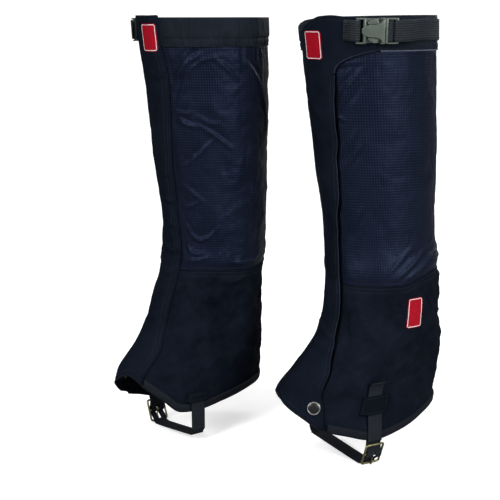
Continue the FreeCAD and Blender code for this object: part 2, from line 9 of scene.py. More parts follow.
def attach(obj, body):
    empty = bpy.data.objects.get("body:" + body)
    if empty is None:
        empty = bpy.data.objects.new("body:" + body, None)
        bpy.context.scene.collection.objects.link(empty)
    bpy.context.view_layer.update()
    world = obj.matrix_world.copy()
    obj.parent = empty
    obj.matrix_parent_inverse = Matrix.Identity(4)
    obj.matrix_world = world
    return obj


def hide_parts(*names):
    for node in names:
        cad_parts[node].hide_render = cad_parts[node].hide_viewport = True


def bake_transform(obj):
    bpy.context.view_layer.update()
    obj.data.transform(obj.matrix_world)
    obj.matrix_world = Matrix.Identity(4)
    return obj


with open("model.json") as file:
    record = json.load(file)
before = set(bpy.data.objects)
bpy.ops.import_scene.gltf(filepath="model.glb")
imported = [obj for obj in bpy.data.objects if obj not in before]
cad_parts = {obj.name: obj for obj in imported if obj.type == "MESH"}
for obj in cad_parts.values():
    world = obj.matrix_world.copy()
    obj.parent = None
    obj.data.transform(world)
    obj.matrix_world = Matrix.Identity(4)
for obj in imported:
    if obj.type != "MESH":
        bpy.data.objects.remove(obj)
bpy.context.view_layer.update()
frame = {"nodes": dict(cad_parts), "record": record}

# ---------------------------------------------------------------------------
# Driving dimensions, millimetres and degrees, the same shape as the CAD.
# "Around" is 0 at the front of the leg, 90 at its outer side, 180 at the back.
# ---------------------------------------------------------------------------

LEG_SPACING = 164.0
STRIDE_OFFSET = 125.0
TOE_IN = 4.0
ROW_SHIFT = (0.189, 28.673, -6.713)

# height, half width, reach to the front, reach to the back, sideways shift
SECTIONS = [
    (20, 50, 155, 68, 9),
    (50, 50, 147, 69, 9),
    (93, 51, 134, 72, 9),
    (120, 52, 108, 73, 9.5),
    (135, 52.5, 95, 73, 10),
    (150, 53, 84, 72.5, 10.5),
    (170, 54, 75, 71, 10),
    (200, 56, 68, 69, 7),
    (230, 57, 65, 67, 4),
    (270, 58, 66, 66, 0),
    (350, 62, 77, 66, -2),
    (430, 67, 87, 63, -4),
    (530, 72, 99, 59, -5),
]

# how much less the front stands out on each gaiter, by height
TAKE_IN = {
    "left": [(20, 0.0), (530, 0.0)],
    "right": [(20, 12), (100, 12), (125, 10), (150, 6), (180, 3.5), (230, 6), (300, 7.5), (365, 8.5),
              (405, 9.8), (440, 10), (475, 7.5), (530, 7)],
}

# outlines on the wrapped surface, as (angle around, height)
WING_LINE = [(-25, 449), (26.4, 449), (28.4, 456), (33, 462), (42, 468), (54, 473), (66, 476)]
HEM = [(-45, 69), (-31, 81), (-10, 93), (12, 83), (32, 71), (49, 57), (66, 49), (89, 39), (110, 45),
       (136, 57), (155, 61), (205, 62), (227, 61), (259, 55), (285, 49), (294, 50), (310, 65.5),
       (329, 81), (350, 93), (360, 89.5)]
PANEL_SEAM = [(0, 213), (80, 213), (100, 219), (127, 224), (180, 221), (264, 213), (310, 216), (360, 213)]

# lines that run up the gaiter, as (height, angle around)
INNER_SEAM = [(80, -26), (105, -29), (120, -28), (135, -23), (167, -18.5), (235, -19), (282, -12),
              (330, -12), (400, -15), (454, -16), (480, -13), (530, -13)]
FLAP_EDGE = [(58, 50), (82, 46), (97, 41), (110, 38), (120, 34.5), (132, 28), (143, 23.5), (163, 19),
             (185, 17), (216, 14), (242, 13), (287, 15.5), (322, 20), (370, 23.5), (422, 25.5),
             (460, 28), (530, 28)]

TOP_EDGE = 510.0
FLAP_TOP = 512.0
CASING_BOTTOM = {"left": 474.0, "right": 477.5}
FRONT_EDGE = 1.0
WING_END = 63.0
ANKLE_FOLD = 202.0       # where the upper and lower flap meet
WING_FOLD = 449.0        # where the upper flap meets the wing
FLAP_SPLIT = 320.0       # where the upper flap's two lengths meet
FLAP_OFFSET = 4.4        # flap's inner face, out from the panels' inner face
SEAM_OFFSET = 1.8        # the same at its sewn edge
RIPSTOP_THICK = 1.0
CANVAS_THICK = 1.2
BAND_THICK = 1.6
FLAP_THICK = 1.4
BINDING_THICK = 0.8
HOOK_TAPE_THICK = 0.85
PATCH_THICK = 1.1
LABEL_THICK = 0.75
THREAD_LIFT = 0.05       # how far a row of stitches stands clear of the cloth
SEAM_ROWS = (3.6, 7.4)   # stitch rows, degrees in from the sewn edge
PER_DEGREE = 1.25        # millimetres along the cloth for one degree around

BUCKLE_HEIGHT = 496.0
BUCKLE_AROUND = 63.0
BUCKLE_STANDOFF = 9.6
BUCKLE_HALF = 13.5
FEMALE_BACK = -23.0
FEMALE_MOUTH = 8.0
MALE_FRONT = 8.4
MALE_BACK = 23.0
WEB_WIDTH = 23.0
WEB_THICK = 1.4
WEB_LIFT = 2.6           # top strap's inner face, out from the surface

SNAP_AROUND = 39.0
SNAP_HEIGHT = 82.0

STRAP_WIDTH = 19.0
STRAP_THICK = 1.5
TAB_WIDTH = 18.0
TAB_THICK = 0.9
STRAP_Y = -46.0
STRAP_SKEW = 0.09
STRAP_SOLE_INNER = 18.0
STRAP_SOLE_OUTER = 8.5
OUTER_PATCH = (-63.0, -28.0, 69.0, 90.5)    # front, rear, bottom, top
INNER_PATCH = (-69.5, -40.5, 59.5, 71.0)
FRAME_X = 59.0
FRAME_Z = 21.0
FRAME_LEAN = 22.0
FRAME_PITCH = 13.0
FRAME_HALF_WIDTH = 11.7

FRONT_LABEL = {"left": (8.0, 480.5), "right": (-0.4, 487.5)}    # centres, as angle and height
SIDE_LABEL = (94.5, 181.0)
LABEL_REACH = {"front": (9.4, 15.5), "side": (8.5, 17.0)}    # half size, degrees and millimetres

SIGN = {"left": 1.0, "right": -1.0}
gaiter = {"side": "left"}    # the one being built


# ---- The wrapped surface, on arrays ----

def along(stations, at, column=1):
    """Smooth curve through stations, flat at its turning points, for an array of places."""
    table = np.array(stations, float)
    x, y = table[:, 0], table[:, column]
    at = np.clip(np.asarray(at, float), x[0], x[-1])
    slope = np.diff(y) / np.diff(x)
    tangent = np.empty_like(y)
    tangent[0], tangent[-1] = slope[0], slope[-1]
    before, after = slope[:-1], slope[1:]
    same = before * after > 0
    total = np.where(same, before + after, 1.0)
    tangent[1:-1] = np.where(same, 2 * before * after / total, 0.0)
    i = np.clip(np.searchsorted(x, at, side="right") - 1, 0, len(x) - 2)
    width = x[i + 1] - x[i]
    t = (at - x[i]) / width
    return (y[i] * (1 + 2 * t) * (1 - t) ** 2 + tangent[i] * width * t * (1 - t) ** 2
            + y[i + 1] * t * t * (3 - 2 * t) + tangent[i + 1] * width * t * t * (t - 1))


def base(around, height):
    half_width = along(SECTIONS, height, 1)
    front = along(SECTIONS, height, 2) - along(TAKE_IN[gaiter["side"]], height)
    back = along(SECTIONS, height, 3)
    shift = along(SECTIONS, height, 4)
    a = np.radians(around)
    x = shift + half_width * np.sin(a)
    y = (back - front) / 2.0 - (front + back) / 2.0 * np.cos(a)
    return np.stack([x, y, np.broadcast_to(height, x.shape)], -1)


def outward(around, height):
    across = base(around + 0.5, height) - base(around - 0.5, height)
    up = base(around, height + 0.5) - base(around, height - 0.5)
    normal = np.cross(across, up)
    return normal / np.linalg.norm(normal, axis=-1, keepdims=True)


def skin(around, height, offset):
    """Leg-frame points, millimetres."""
    around, height, offset = np.broadcast_arrays(np.asarray(around, float), np.asarray(height, float),
                                                 np.asarray(offset, float))
    return base(around, height) + outward(around, height) * offset[..., None]


def line_on(around, height, rise, relief=None):
    """Points (angle, height, offset) for stitches and cords, riding on a relief if one is given."""
    if relief is not None:
        rise = rise + relief(around, height)
    return np.stack(np.broadcast_arrays(around, height, rise), -1).astype(float)


def to_row(points):
    """Leg frame in millimetres to the row frame in metres."""
    p = np.array(points, float).reshape(-1, 3)
    sign = SIGN[gaiter["side"]]
    p[:, 0] *= sign
    a = math.radians(-sign * TOE_IN)
    x = p[:, 0] * math.cos(a) - p[:, 1] * math.sin(a) + sign * LEG_SPACING / 2.0 + ROW_SHIFT[0]
    y = p[:, 0] * math.sin(a) + p[:, 1] * math.cos(a) + sign * STRIDE_OFFSET / 2.0 + ROW_SHIFT[1]
    return np.stack([x, y, p[:, 2] + ROW_SHIFT[2]], -1) / 1000.0


def smooth_step(t):
    t = np.clip(t, 0.0, 1.0)
    return t * t * (3 - 2 * t)


def value(thing, *args):
    return thing(*args) if callable(thing) else thing


def hem(around):
    return along(HEM, around)


def panel_seam(around):
    return along(PANEL_SEAM, around)


def inner_seam(height):
    return along(INNER_SEAM, height)


def flap_edge(height):
    """Free edge of the flap, with the small waves of a sewn edge."""
    height = np.asarray(height, float)
    phase = 0.0 if gaiter["side"] == "left" else 1.9
    wave = 0.55 * np.sin(height / 9.7 + phase) + 0.4 * np.sin(height / 5.3 + 2 * phase)
    fade = smooth_step((height - 105) / 30.0) * smooth_step((440 - height) / 20.0)
    return along(FLAP_EDGE, height) + wave * fade


def around_at(y, height, inner_side):
    """Angle at which the wrapped surface passes a given y."""
    front = base(np.array(0.0), height)[1]
    back = base(np.array(180.0), height)[1]
    around = math.degrees(math.acos((front + back - 2 * y) / (back - front)))
    return 360.0 - around if inner_side else around


def strap_middle(x):
    return STRAP_Y + STRAP_SKEW * (x - FRAME_X)


def strap_x(height, standoff, inner_side):
    """Strap's middle plane, clear of the surface at the strap's rear edge."""
    edge = strap_middle(-44.0 if inner_side else 60.0) + STRAP_WIDTH / 2.0
    surface = base(np.array(around_at(edge, height, inner_side)), height)[0]
    return surface - standoff if inner_side else surface + standoff


def strap_space(a, b, across):
    return np.array([a, strap_middle(a) + across, b])


def frame_point(s, n=0.0):
    """Point s up the frame buckle and n outward from its plane, as x and z."""
    lean = math.radians(FRAME_LEAN)
    return (FRAME_X + math.sin(lean) * s + math.cos(lean) * n,
            FRAME_Z + math.cos(lean) * s - math.sin(lean) * n)


def on_frame_line(*points):
    return [frame_point(s, n) for s, n in points]


def buckle_space(a, b, across):
    """Side-release buckle's own frame: a along the strap, b toward the leg, across up the leg."""
    place = np.array(BUCKLE_AROUND)
    normal = outward(place, BUCKLE_HEIGHT)
    run = np.array([-normal[1], normal[0], 0.0])
    run /= np.linalg.norm(run)
    origin = base(place, BUCKLE_HEIGHT) + normal * BUCKLE_STANDOFF
    return origin + run * a - normal * b + np.cross(run, -normal) * across


def in_buckle(point):
    """Leg-frame point as (a, b) in the buckle's frame."""
    origin = buckle_space(0, 0, 0)
    away = point - origin
    return [float(away @ (buckle_space(1, 0, 0) - origin)), float(away @ (buckle_space(0, 1, 0) - origin))]


def arc(centre, radius, start, end, steps):
    """Points on an arc, angles in degrees."""
    angles = np.radians(np.linspace(start, end, steps + 1))
    return [(centre[0] + radius * math.cos(a), centre[1] + radius * math.sin(a)) for a in angles]


def round_profile(radius, steps):
    return arc((0.0, 0.0), radius, 0, 360 - 360 / steps, steps - 1)


def rounded_rectangle(half_wide, half_tall, corner, steps):
    outline = []
    for turn, (x, y) in enumerate(((1, 1), (-1, 1), (-1, -1), (1, -1))):
        centre = (x * (half_wide - corner), y * (half_tall - corner))
        outline += arc(centre, corner, 90 * turn, 90 * turn + 90, steps)
    return outline


# ---------------------------------------------------------------------------
# Folds.  Each is a line of (angle, height) points with a height and a width
# in millimetres; the cloth rises along it and dips beside it.
# ---------------------------------------------------------------------------

UPPER_FOLDS = {
    "left": [
        ([(24, 404), (36, 424), (49, 444)], 1.7, 4.0),
        ([(27, 414), (38, 436), (53, 458)], 1.8, 4.5),
        ([(26, 438), (36, 449), (46, 462)], 1.2, 4.0),
        ([(26, 457), (38, 461), (52, 463)], 1.6, 3.5),
        ([(22, 345), (31, 366), (44, 392)], 1.3, 4.0),
        ([(28, 342), (37, 358), (50, 376)], 1.2, 3.5),
        ([(20, 262), (30, 280), (44, 304)], 1.1, 4.5),
        ([(22, 400), (27, 402), (33, 398)], 1.0, 3.0),
        ([(72, 220), (86, 233), (104, 248), (128, 262)], 1.6, 4.0),
        ([(78, 216), (94, 226), (116, 242), (150, 252)], 1.9, 3.8),
        ([(86, 218), (104, 226), (128, 238), (155, 240)], 1.5, 3.5),
        ([(62, 226), (74, 238), (90, 254)], 0.8, 4.5),
        ([(150, 300), (180, 284), (215, 292)], 1.6, 6.0),
        ([(165, 262), (195, 252), (230, 262)], 1.5, 5.0),
        ([(190, 452), (215, 430), (236, 400)], 1.4, 5.0),
        ([(168, 455), (180, 424), (200, 398)], 1.3, 5.0),
        ([(250, 250), (275, 240), (305, 252)], 1.4, 5.0),
        ([(262, 452), (280, 432), (300, 420)], 1.3, 4.5),
        ([(300, 452), (312, 436), (326, 426)], 1.4, 4.0),
    ],
    "right": [
        ([(338, 448), (328, 462), (320, 472)], 1.8, 3.6),
        ([(341, 432), (330, 452), (321, 472)], 1.6, 3.4),
        ([(334, 444), (320, 462), (305, 471)], 2.9, 5.0),
        ([(324, 450), (308, 463), (292, 467)], 1.9, 4.0),
        ([(298, 464), (286, 452), (278, 440)], 2.0, 4.2),
        ([(338, 412), (330, 432), (325, 448)], 1.8, 3.6),
        ([(336, 394), (327, 389), (316, 387)], 2.2, 3.8),
        ([(338, 404), (330, 402), (322, 404)], 1.2, 3.0),
        ([(320, 402), (308, 392), (296, 390)], 1.3, 3.8),
        ([(316, 389), (300, 376), (284, 361)], 2.2, 3.4),
        ([(333, 340), (318, 354), (302, 372)], 1.7, 3.4),
        ([(336, 318), (326, 308), (314, 298)], 1.3, 3.2),
        ([(337, 292), (329, 294), (320, 300)], 1.5, 3.0),
        ([(336, 270), (329, 257), (320, 252), (310, 257), (301, 268)], 2.1, 3.4),
        ([(334, 243), (324, 236), (312, 236)], 1.6, 3.4),
        ([(331, 228), (320, 229), (307, 233)], 1.5, 3.4),
        ([(267, 464), (250, 436), (238, 404), (234, 380)], 1.9, 4.0),
        ([(276, 466), (262, 452), (254, 430)], 1.2, 4.0),
        ([(246, 230), (262, 222), (282, 224)], 1.6, 3.6),
        ([(140, 252), (165, 262), (195, 250)], 1.5, 5.0),
        ([(60, 440), (84, 452), (110, 440)], 1.3, 5.0),
        ([(70, 300), (100, 284), (130, 296)], 1.3, 6.0),
        ([(170, 420), (190, 392), (215, 372)], 1.3, 5.0),
    ],
}
LOWER_FOLDS = {
    "left": [
        ([(30, 204), (42, 178), (60, 150)], 1.4, 6.0),
        ([(24, 190), (33, 166), (40, 146)], 1.2, 5.0),
        ([(70, 190), (84, 165), (92, 138)], 1.2, 7.0),
        ([(110, 206), (124, 184), (150, 172)], 1.6, 6.0),
        ([(100, 140), (125, 128), (160, 132)], 1.4, 7.0),
        ([(190, 190), (215, 172), (245, 176)], 1.6, 6.0),
        ([(250, 150), (280, 140), (310, 152)], 1.4, 6.0),
    ],
    "right": [
        ([(330, 204), (318, 180), (300, 158)], 1.6, 6.0),
        ([(300, 208), (280, 200), (262, 204)], 1.3, 4.5),
        ([(296, 186), (278, 168), (262, 150)], 1.2, 7.0),
        ([(250, 206), (236, 184), (210, 172)], 1.6, 6.0),
        ([(322, 150), (306, 132), (296, 112)], 1.2, 6.0),
        ([(120, 190), (150, 172), (175, 176)], 1.6, 6.0),
        ([(60, 150), (85, 138), (115, 150)], 1.4, 6.0),
    ],
}
FLAP_FOLDS = {
    "left": [
        ([(-14, 430), (-2, 418), (10, 398)], 1.2, 5.0),
        ([(-16, 400), (-4, 384), (8, 372)], 0.9, 5.0),
        ([(-14, 300), (0, 290), (12, 296)], 0.8, 5.0),
        ([(-20, 232), (-4, 222), (12, 226)], 1.6, 5.0),
        ([(-20, 172), (0, 160), (22, 150)], 1.6, 5.0),
        ([(-22, 152), (0, 143), (26, 140)], 1.3, 4.5),
    ],
    "right": [
        ([(-18, 452), (-4, 444), (12, 452)], 1.6, 5.0),
        ([(-18, 340), (-4, 330), (12, 336)], 1.0, 5.0),
        ([(-20, 306), (-6, 298), (10, 303)], 2.2, 5.0),
        ([(-22, 282), (-6, 270), (10, 276)], 1.4, 5.0),
        ([(-24, 250), (-8, 238), (10, 246)], 2.6, 6.0),
        ([(-24, 222), (-8, 210), (10, 216)], 1.4, 5.0),
        ([(-24, 168), (-4, 156), (16, 160)], 1.6, 6.0),
    ],
}


def fold_height(folds, around, height):
    """Sum of the folds' heights, in millimetres outward."""
    x = np.asarray(around, float) * PER_DEGREE
    y = np.asarray(height, float)
    total = np.zeros(x.shape)
    for points, rise, width in folds:
        line = np.array(points, float) * (PER_DEGREE, 1.0)
        lengths = np.linalg.norm(np.diff(line, axis=0), axis=1)
        whole = lengths.sum()
        best = np.full(x.shape, 1e9)
        signed = np.zeros(x.shape)
        place = np.zeros(x.shape)
        run = 0.0
        for k, length in enumerate(lengths):
            start = line[k]
            step = (line[k + 1] - start) / length
            s = np.clip((x - start[0]) * step[0] + (y - start[1]) * step[1], 0, length)
            dx = x - start[0] - step[0] * s
            dy = y - start[1] - step[1] * s
            gap = np.hypot(dx, dy)
            closer = gap < best
            best = np.where(closer, gap, best)
            signed = np.where(closer, np.sign(step[0] * dy - step[1] * dx) * gap, signed)
            place = np.where(closer, (run + s) / whole, place)
            run += length
        fade = np.sin(np.pi * np.clip(0.06 + 0.88 * place, 0, 1)) ** 0.8
        ridge = np.exp(-(best / (0.62 * width)) ** 2)
        dip = np.exp(-((signed + 1.25 * width) / (0.8 * width)) ** 2)
        total += rise * fade * (ridge - 0.45 * dip * np.exp(-(best / (2.2 * width)) ** 4))
    return total


def noise_at(around, height, scale_x, scale_y, seed, octaves=3):
    """Smooth random heights, -1 to 1, on an array of places."""
    x = np.asarray(around, float).ravel() * PER_DEGREE / scale_x
    y = np.asarray(height, float).ravel() / scale_y
    out = np.empty(x.size)
    for k in range(x.size):
        out[k] = noise.fractal((x[k], y[k], seed), 0.6, 2.1, octaves)
    return out.reshape(np.shape(around))


# ---- Materials ----

class Nodes:
    """Short way to write a material's node tree."""

    def __init__(self, name):
        self.material = bpy.data.materials.new(name)
        self.material.use_nodes = True
        self.tree = self.material.node_tree
        self.shader = self.tree.nodes["Principled BSDF"]

    def add(self, kind, **settings):
        node = self.tree.nodes.new(kind)
        for key, setting in settings.items():
            setattr(node, key, setting)
        return node

    def feed(self, socket, item):
        """Put a number, a colour or another node's output into a socket."""
        if isinstance(item, tuple):
            socket.default_value = (*item, 1.0)
        elif isinstance(item, (int, float)):
            socket.default_value = item
        else:
            self.tree.links.new(item, socket)

    def math(self, operation, a, b=0.0):
        node = self.add("ShaderNodeMath", operation=operation)
        self.feed(node.inputs[0], a)
        self.feed(node.inputs[1], b)
        return node.outputs[0]

    def wave(self, source, pitch):
        return self.math("SINE", self.math("MULTIPLY", source, 2 * math.pi / pitch))

    def uv(self):
        """The piece's own u and v, in millimetres."""
        split = self.add("ShaderNodeSeparateXYZ")
        self.feed(split.inputs[0], self.add("ShaderNodeTexCoord").outputs["UV"])
        return [self.math("MULTIPLY", split.outputs[k], 1000.0) for k in (0, 1)]

    def noise(self, scale, detail=3.0, rough=0.5):
        node = self.add("ShaderNodeTexNoise")
        self.feed(node.inputs["Vector"], self.add("ShaderNodeTexCoord").outputs["Object"])
        for name, number in (("Scale", scale), ("Detail", detail), ("Roughness", rough)):
            self.feed(node.inputs[name], number)
        return node.outputs["Fac"]

    def remap(self, source, low, high, out_low, out_high):
        node = self.add("ShaderNodeMapRange")
        for k, item in enumerate((source, low, high, out_low, out_high)):
            self.feed(node.inputs[k], item)
        return node.outputs[0]

    def mix(self, factor, first, second):
        node = self.add("ShaderNodeMix", data_type="RGBA")
        for index, item in ((0, factor), (6, first), (7, second)):
            self.feed(node.inputs[index], item)
        return node.outputs[2]

    def bump(self, height, strength, distance):
        node = self.add("ShaderNodeBump")
        for name, item in (("Strength", strength), ("Distance", distance), ("Height", height)):
            self.feed(node.inputs[name], item)
        self.feed(self.shader.inputs["Normal"], node.outputs[0])

    def finish(self, colour, roughness, metallic=0.0, specular=0.5, coat=0.0, tint=(1.0, 1.0, 1.0)):
        settings = {"Base Color": colour, "Roughness": roughness, "Metallic": metallic,
                    "Specular IOR Level": specular, "Specular Tint": tint, "Coat Weight": coat}
        for name, item in settings.items():
            self.feed(self.shader.inputs[name], item)
        return self.material


def ripstop_material():
    """Coated nylon with a square grid of heavier threads."""
    n = Nodes("ripstop")
    u, v = n.uv()
    lines = [n.remap(n.wave(axis, 3.0), 0.35, 0.95, 0.0, 1.0) for axis in (u, v)]
    grid = n.math("MAXIMUM", *lines)
    knot = n.math("MULTIPLY", *lines)
    threads = n.math("ADD", grid, n.math("MULTIPLY", knot, 0.6))
    cloud = n.noise(38.0, 4.0)
    tone = n.mix(n.remap(cloud, 0.3, 0.7, 0.0, 1.0), (0.0015, 0.0026, 0.0070), (0.0028, 0.0044, 0.0108))
    colour = n.mix(n.math("MULTIPLY", threads, 0.45), tone, (0.0105, 0.0138, 0.0250))
    rough = n.math("ADD", n.remap(cloud, 0.3, 0.7, 0.34, 0.42), n.math("MULTIPLY", grid, 0.08))
    fine = n.noise(900.0, 2.0)
    n.bump(n.math("ADD", threads, n.math("MULTIPLY", fine, 0.5)), 0.35, 0.0003)
    return n.finish(colour, rough, specular=0.105, tint=(0.42, 0.56, 1.0))


def weave_material(name, dark, light, pitch, roughness=0.85, specular=0.035, strength=0.5):
    """Plain weave, dark enough that its threads show only close up."""
    n = Nodes(name)
    u, v = n.uv()
    threads = n.math("MULTIPLY", n.wave(u, pitch), n.wave(v, pitch))
    cloud = n.noise(26.0, 5.0, 0.6)
    fleck = n.noise(520.0, 2.0)
    blend = n.math("ADD", n.remap(cloud, 0.3, 0.7, 0.0, 0.7), n.math("MULTIPLY", threads, 0.16))
    blend = n.math("ADD", blend, n.remap(fleck, 0.4, 0.75, 0.0, 0.35))
    colour = n.mix(blend, dark, light)
    n.bump(n.math("ADD", threads, n.math("MULTIPLY", fleck, 0.8)), strength, 0.00035)
    return n.finish(colour, roughness, specular=specular)


def webbing_material(name, dark, light, rib=1.5):
    """Ribbed tape: ribs run along its length, yarns cross them in a shallow zigzag."""
    n = Nodes(name)
    u, v = n.uv()
    zigzag = n.math("ABSOLUTE", n.wave(v, 2 * rib))
    lean = n.math("MULTIPLY", zigzag, 2.2)
    yarn = n.math("SINE", n.math("ADD", n.math("MULTIPLY", u, 2 * math.pi / 1.1), lean))
    height = n.math("ADD", zigzag, n.math("MULTIPLY", yarn, 0.35))
    fleck = n.noise(700.0, 2.0)
    blend = n.math("ADD", n.math("MULTIPLY", height, 0.72), n.remap(fleck, 0.35, 0.7, -0.25, 0.15))
    colour = n.mix(blend, dark, light)
    n.bump(height, 0.7, 0.0005)
    return n.finish(colour, 0.66, specular=0.12)


def plastic_material(name, colour, roughness, coat=0.25):
    n = Nodes(name)
    grain = n.noise(1400.0, 2.0)
    cloud = n.noise(60.0, 3.0)
    n.bump(grain, 0.08, 0.0002)
    second = tuple(c * 1.25 for c in colour)
    uneven = n.remap(cloud, 0.3, 0.7, roughness - 0.05, roughness + 0.08)
    return n.finish(n.mix(cloud, colour, second), uneven, specular=0.3 + coat, coat=coat)


def metal_material(name, bright, dull, roughness):
    """Plated metal, worn duller in patches."""
    n = Nodes(name)
    cloud = n.noise(180.0, 5.0, 0.65)
    wear = n.remap(cloud, 0.38, 0.66, 0.0, 1.0)
    scratch = n.noise(1800.0, 2.0)
    n.bump(scratch, 0.12, 0.0002)
    uneven = n.remap(cloud, 0.3, 0.7, roughness - 0.08, roughness + 0.12)
    return n.finish(n.mix(wear, bright, dull), uneven, metallic=1.0)


def pile_material(name, dark, light, scale, strength, roughness):
    """Loop pile or hook stubs: rough all over."""
    n = Nodes(name)
    tuft = n.noise(scale, 3.0, 0.7)
    n.bump(tuft, strength, 0.0008)
    return n.finish(n.mix(n.remap(tuft, 0.35, 0.65, 0.0, 1.0), dark, light), roughness, specular=0.1)


def label_material():
    """Woven label, plain red."""
    n = Nodes("label_red")
    threads = n.wave(n.uv()[1], 0.5)
    cloud = n.noise(200.0, 3.0)
    blend = n.math("ADD", n.math("MULTIPLY", threads, 0.15), cloud)
    n.bump(threads, 0.4, 0.0002)
    return n.finish(n.mix(blend, (0.20, 0.001, 0.006), (0.32, 0.003, 0.014)), 0.7, specular=0.08)


MATERIALS = {
    "ripstop": ripstop_material(),
    "canvas": weave_material("canvas", (0.0008, 0.0018, 0.0044), (0.0056, 0.0083, 0.0148), 1.1),
    "flap_cloth": weave_material("flap_cloth", (0.0020, 0.0035, 0.0072), (0.0052, 0.0080, 0.0148), 1.0),
    "casing": weave_material("casing", (0.0034, 0.0052, 0.0086), (0.0090, 0.0127, 0.0198), 0.9, 0.62, 0.06),
    "facing": weave_material("facing", (0.004, 0.005, 0.008), (0.010, 0.012, 0.017), 1.0),
    "binding": webbing_material("binding", (0.0016, 0.0026, 0.0048), (0.0058, 0.0084, 0.0140), 2.0),
    "webbing": webbing_material("webbing", (0.0022, 0.0030, 0.0042), (0.0225, 0.0280, 0.0345), 2.4),
    "instep_web": webbing_material("instep_web", (0.0026, 0.0036, 0.0054), (0.0140, 0.0185, 0.0260), 1.5),
    "elastic": webbing_material("elastic", (0.008, 0.008, 0.009), (0.035, 0.035, 0.037), 1.2),
    "buckle_plastic": plastic_material("buckle_plastic", (0.040, 0.052, 0.043), 0.30),
    "snap_enamel": plastic_material("snap_enamel", (0.004, 0.005, 0.006), 0.3, 0.0),
    "frame_metal": metal_material("frame_metal", (0.34, 0.32, 0.16), (0.13, 0.12, 0.07), 0.34),
    "snap_steel": metal_material("snap_steel", (0.45, 0.44, 0.42), (0.18, 0.18, 0.17), 0.28),
    "hook_steel": metal_material("hook_steel", (0.55, 0.55, 0.55), (0.25, 0.25, 0.26), 0.3),
    "loop_pile": pile_material("loop_pile", (0.002, 0.002, 0.003), (0.011, 0.011, 0.013), 1500.0, 0.9, 0.9),
    "hook_plastic": pile_material("hook_plastic", (0.005, 0.005, 0.006), (0.02, 0.02, 0.022), 1100.0, 1.0,
                                  0.5),
    "label": label_material(),
}
# near-black matt cloth with no specular: painted shadow laid beside the flap's free edge
FLAP_SHADOW_CLOTH = weave_material("painted_flap_shadow", (0.0008, 0.0011, 0.0018), (0.0026, 0.0036, 0.0056), 1.0, 0.95, 0.0)
PATCH_CLOTH = weave_material("patch_cloth", (0.0014, 0.0024, 0.0046), (0.0038, 0.0058, 0.0100), 1.0)
THREAD_DARK = weave_material("thread_dark", (0.008, 0.011, 0.017), (0.020, 0.025, 0.036), 0.5, 0.7)
THREAD_WHITE = weave_material("thread_white", (0.55, 0.55, 0.55), (0.75, 0.75, 0.75), 0.5, 0.7)
# pale cord colour: painted highlight on the band's seam cord, where its fold catches the light
BAND_CORD_HIGHLIGHT = weave_material("band_cord_painted_highlight", (0.045, 0.055, 0.085), (0.10, 0.115, 0.16), 0.7, 0.6)
# the flap's rolled free edge, made a little lighter than the flap cloth: a real rolled edge with a painted
# highlight where it catches the light
EDGE_ROLL_HIGHLIGHT = weave_material("edge_roll_painted_highlight", (0.008, 0.011, 0.018), (0.020, 0.026, 0.042), 0.7, 0.6)


# ---- Mesh helpers ----

def new_object(name, points, faces, material, uvs=None):
    """A smooth mesh from points in the row frame, metres."""
    mesh = bpy.data.meshes.new(name)
    mesh.from_pydata(np.asarray(points, float).tolist(), [], [tuple(int(i) for i in f) for f in faces])
    if uvs is not None:
        layer = mesh.uv_layers.new(name="UVMap")
        index = np.empty(len(mesh.loops), np.int32)
        mesh.loops.foreach_get("vertex_index", index)
        layer.data.foreach_set("uv", np.asarray(uvs, float)[index].ravel())
    mesh.polygons.foreach_set("use_smooth", [True] * len(mesh.polygons))
    mesh.materials.append(material)
    mesh.update()
    thing = bpy.data.objects.new(name, mesh)
    bpy.context.scene.collection.objects.link(thing)
    return thing


def leg_object(vertices, faces, material, uvs=None):
    """A smooth mesh from points in the leg frame of the gaiter in hand, millimetres."""
    if gaiter["side"] == "right":
        faces = [face[::-1] for face in faces]
    return new_object("part", to_row(vertices), faces, material, uvs)


def grid_faces(rows, columns, closed=False):
    faces = []
    for i in range(rows if closed else rows - 1):
        for j in range(columns - 1):
            a = i * columns + j
            b = ((i + 1) % rows) * columns + j
            faces.append((a, b, b + 1, a + 1))
    return faces


def tube_faces(rows, columns, closed=False, start=0):
    """Quads between rings of points, with end caps unless the tube closes on itself."""
    faces = []
    for i in range(rows if closed else rows - 1):
        for j in range(columns):
            a, b = start + i * columns, start + ((i + 1) % rows) * columns
            k = (j + 1) % columns
            faces.append((a + j, b + j, b + k, a + k))
    if not closed:
        faces.append(tuple(range(start, start + columns)))
        last = start + (rows - 1) * columns
        faces.append(tuple(range(last + columns - 1, last - 1, -1)))
    return faces


def patch_places(first, last, bottom, top, n_around, n_up):
    """Angle and height on a grid that blends the four edges of a piece, as in the CAD."""
    def corner(side_edge, end_edge):
        around, height = 0.0, 200.0
        for _ in range(40):
            around = 0.5 * around + 0.5 * float(value(side_edge, height))
            height = 0.5 * height + 0.5 * float(value(end_edge, around))
        return float(value(side_edge, height)), height

    c00, c10 = corner(first, bottom), corner(last, bottom)
    c01, c11 = corner(first, top), corner(last, top)
    s, t = np.meshgrid(np.linspace(0, 1, n_around + 1), np.linspace(0, 1, n_up + 1), indexing="ij")
    low = (1 - s) * c00[0] + s * c10[0]
    high = (1 - s) * c01[0] + s * c11[0]
    left = (1 - t) * c00[1] + t * c01[1]
    right = (1 - t) * c10[1] + t * c11[1]

    def full(thing, at):
        return np.broadcast_to(value(thing, at), at.shape)

    def blended(low_part, high_part, left_part, right_part, axis):
        corners = ((1 - s) * (1 - t) * c00[axis] + s * (1 - t) * c10[axis]
                   + (1 - s) * t * c01[axis] + s * t * c11[axis])
        return (1 - t) * low_part + t * high_part + (1 - s) * left_part + s * right_part - corners

    around = blended(low, high, full(first, left), full(last, right), 0)
    height = blended(full(bottom, low), full(top, high), left, right, 1)
    return around, height


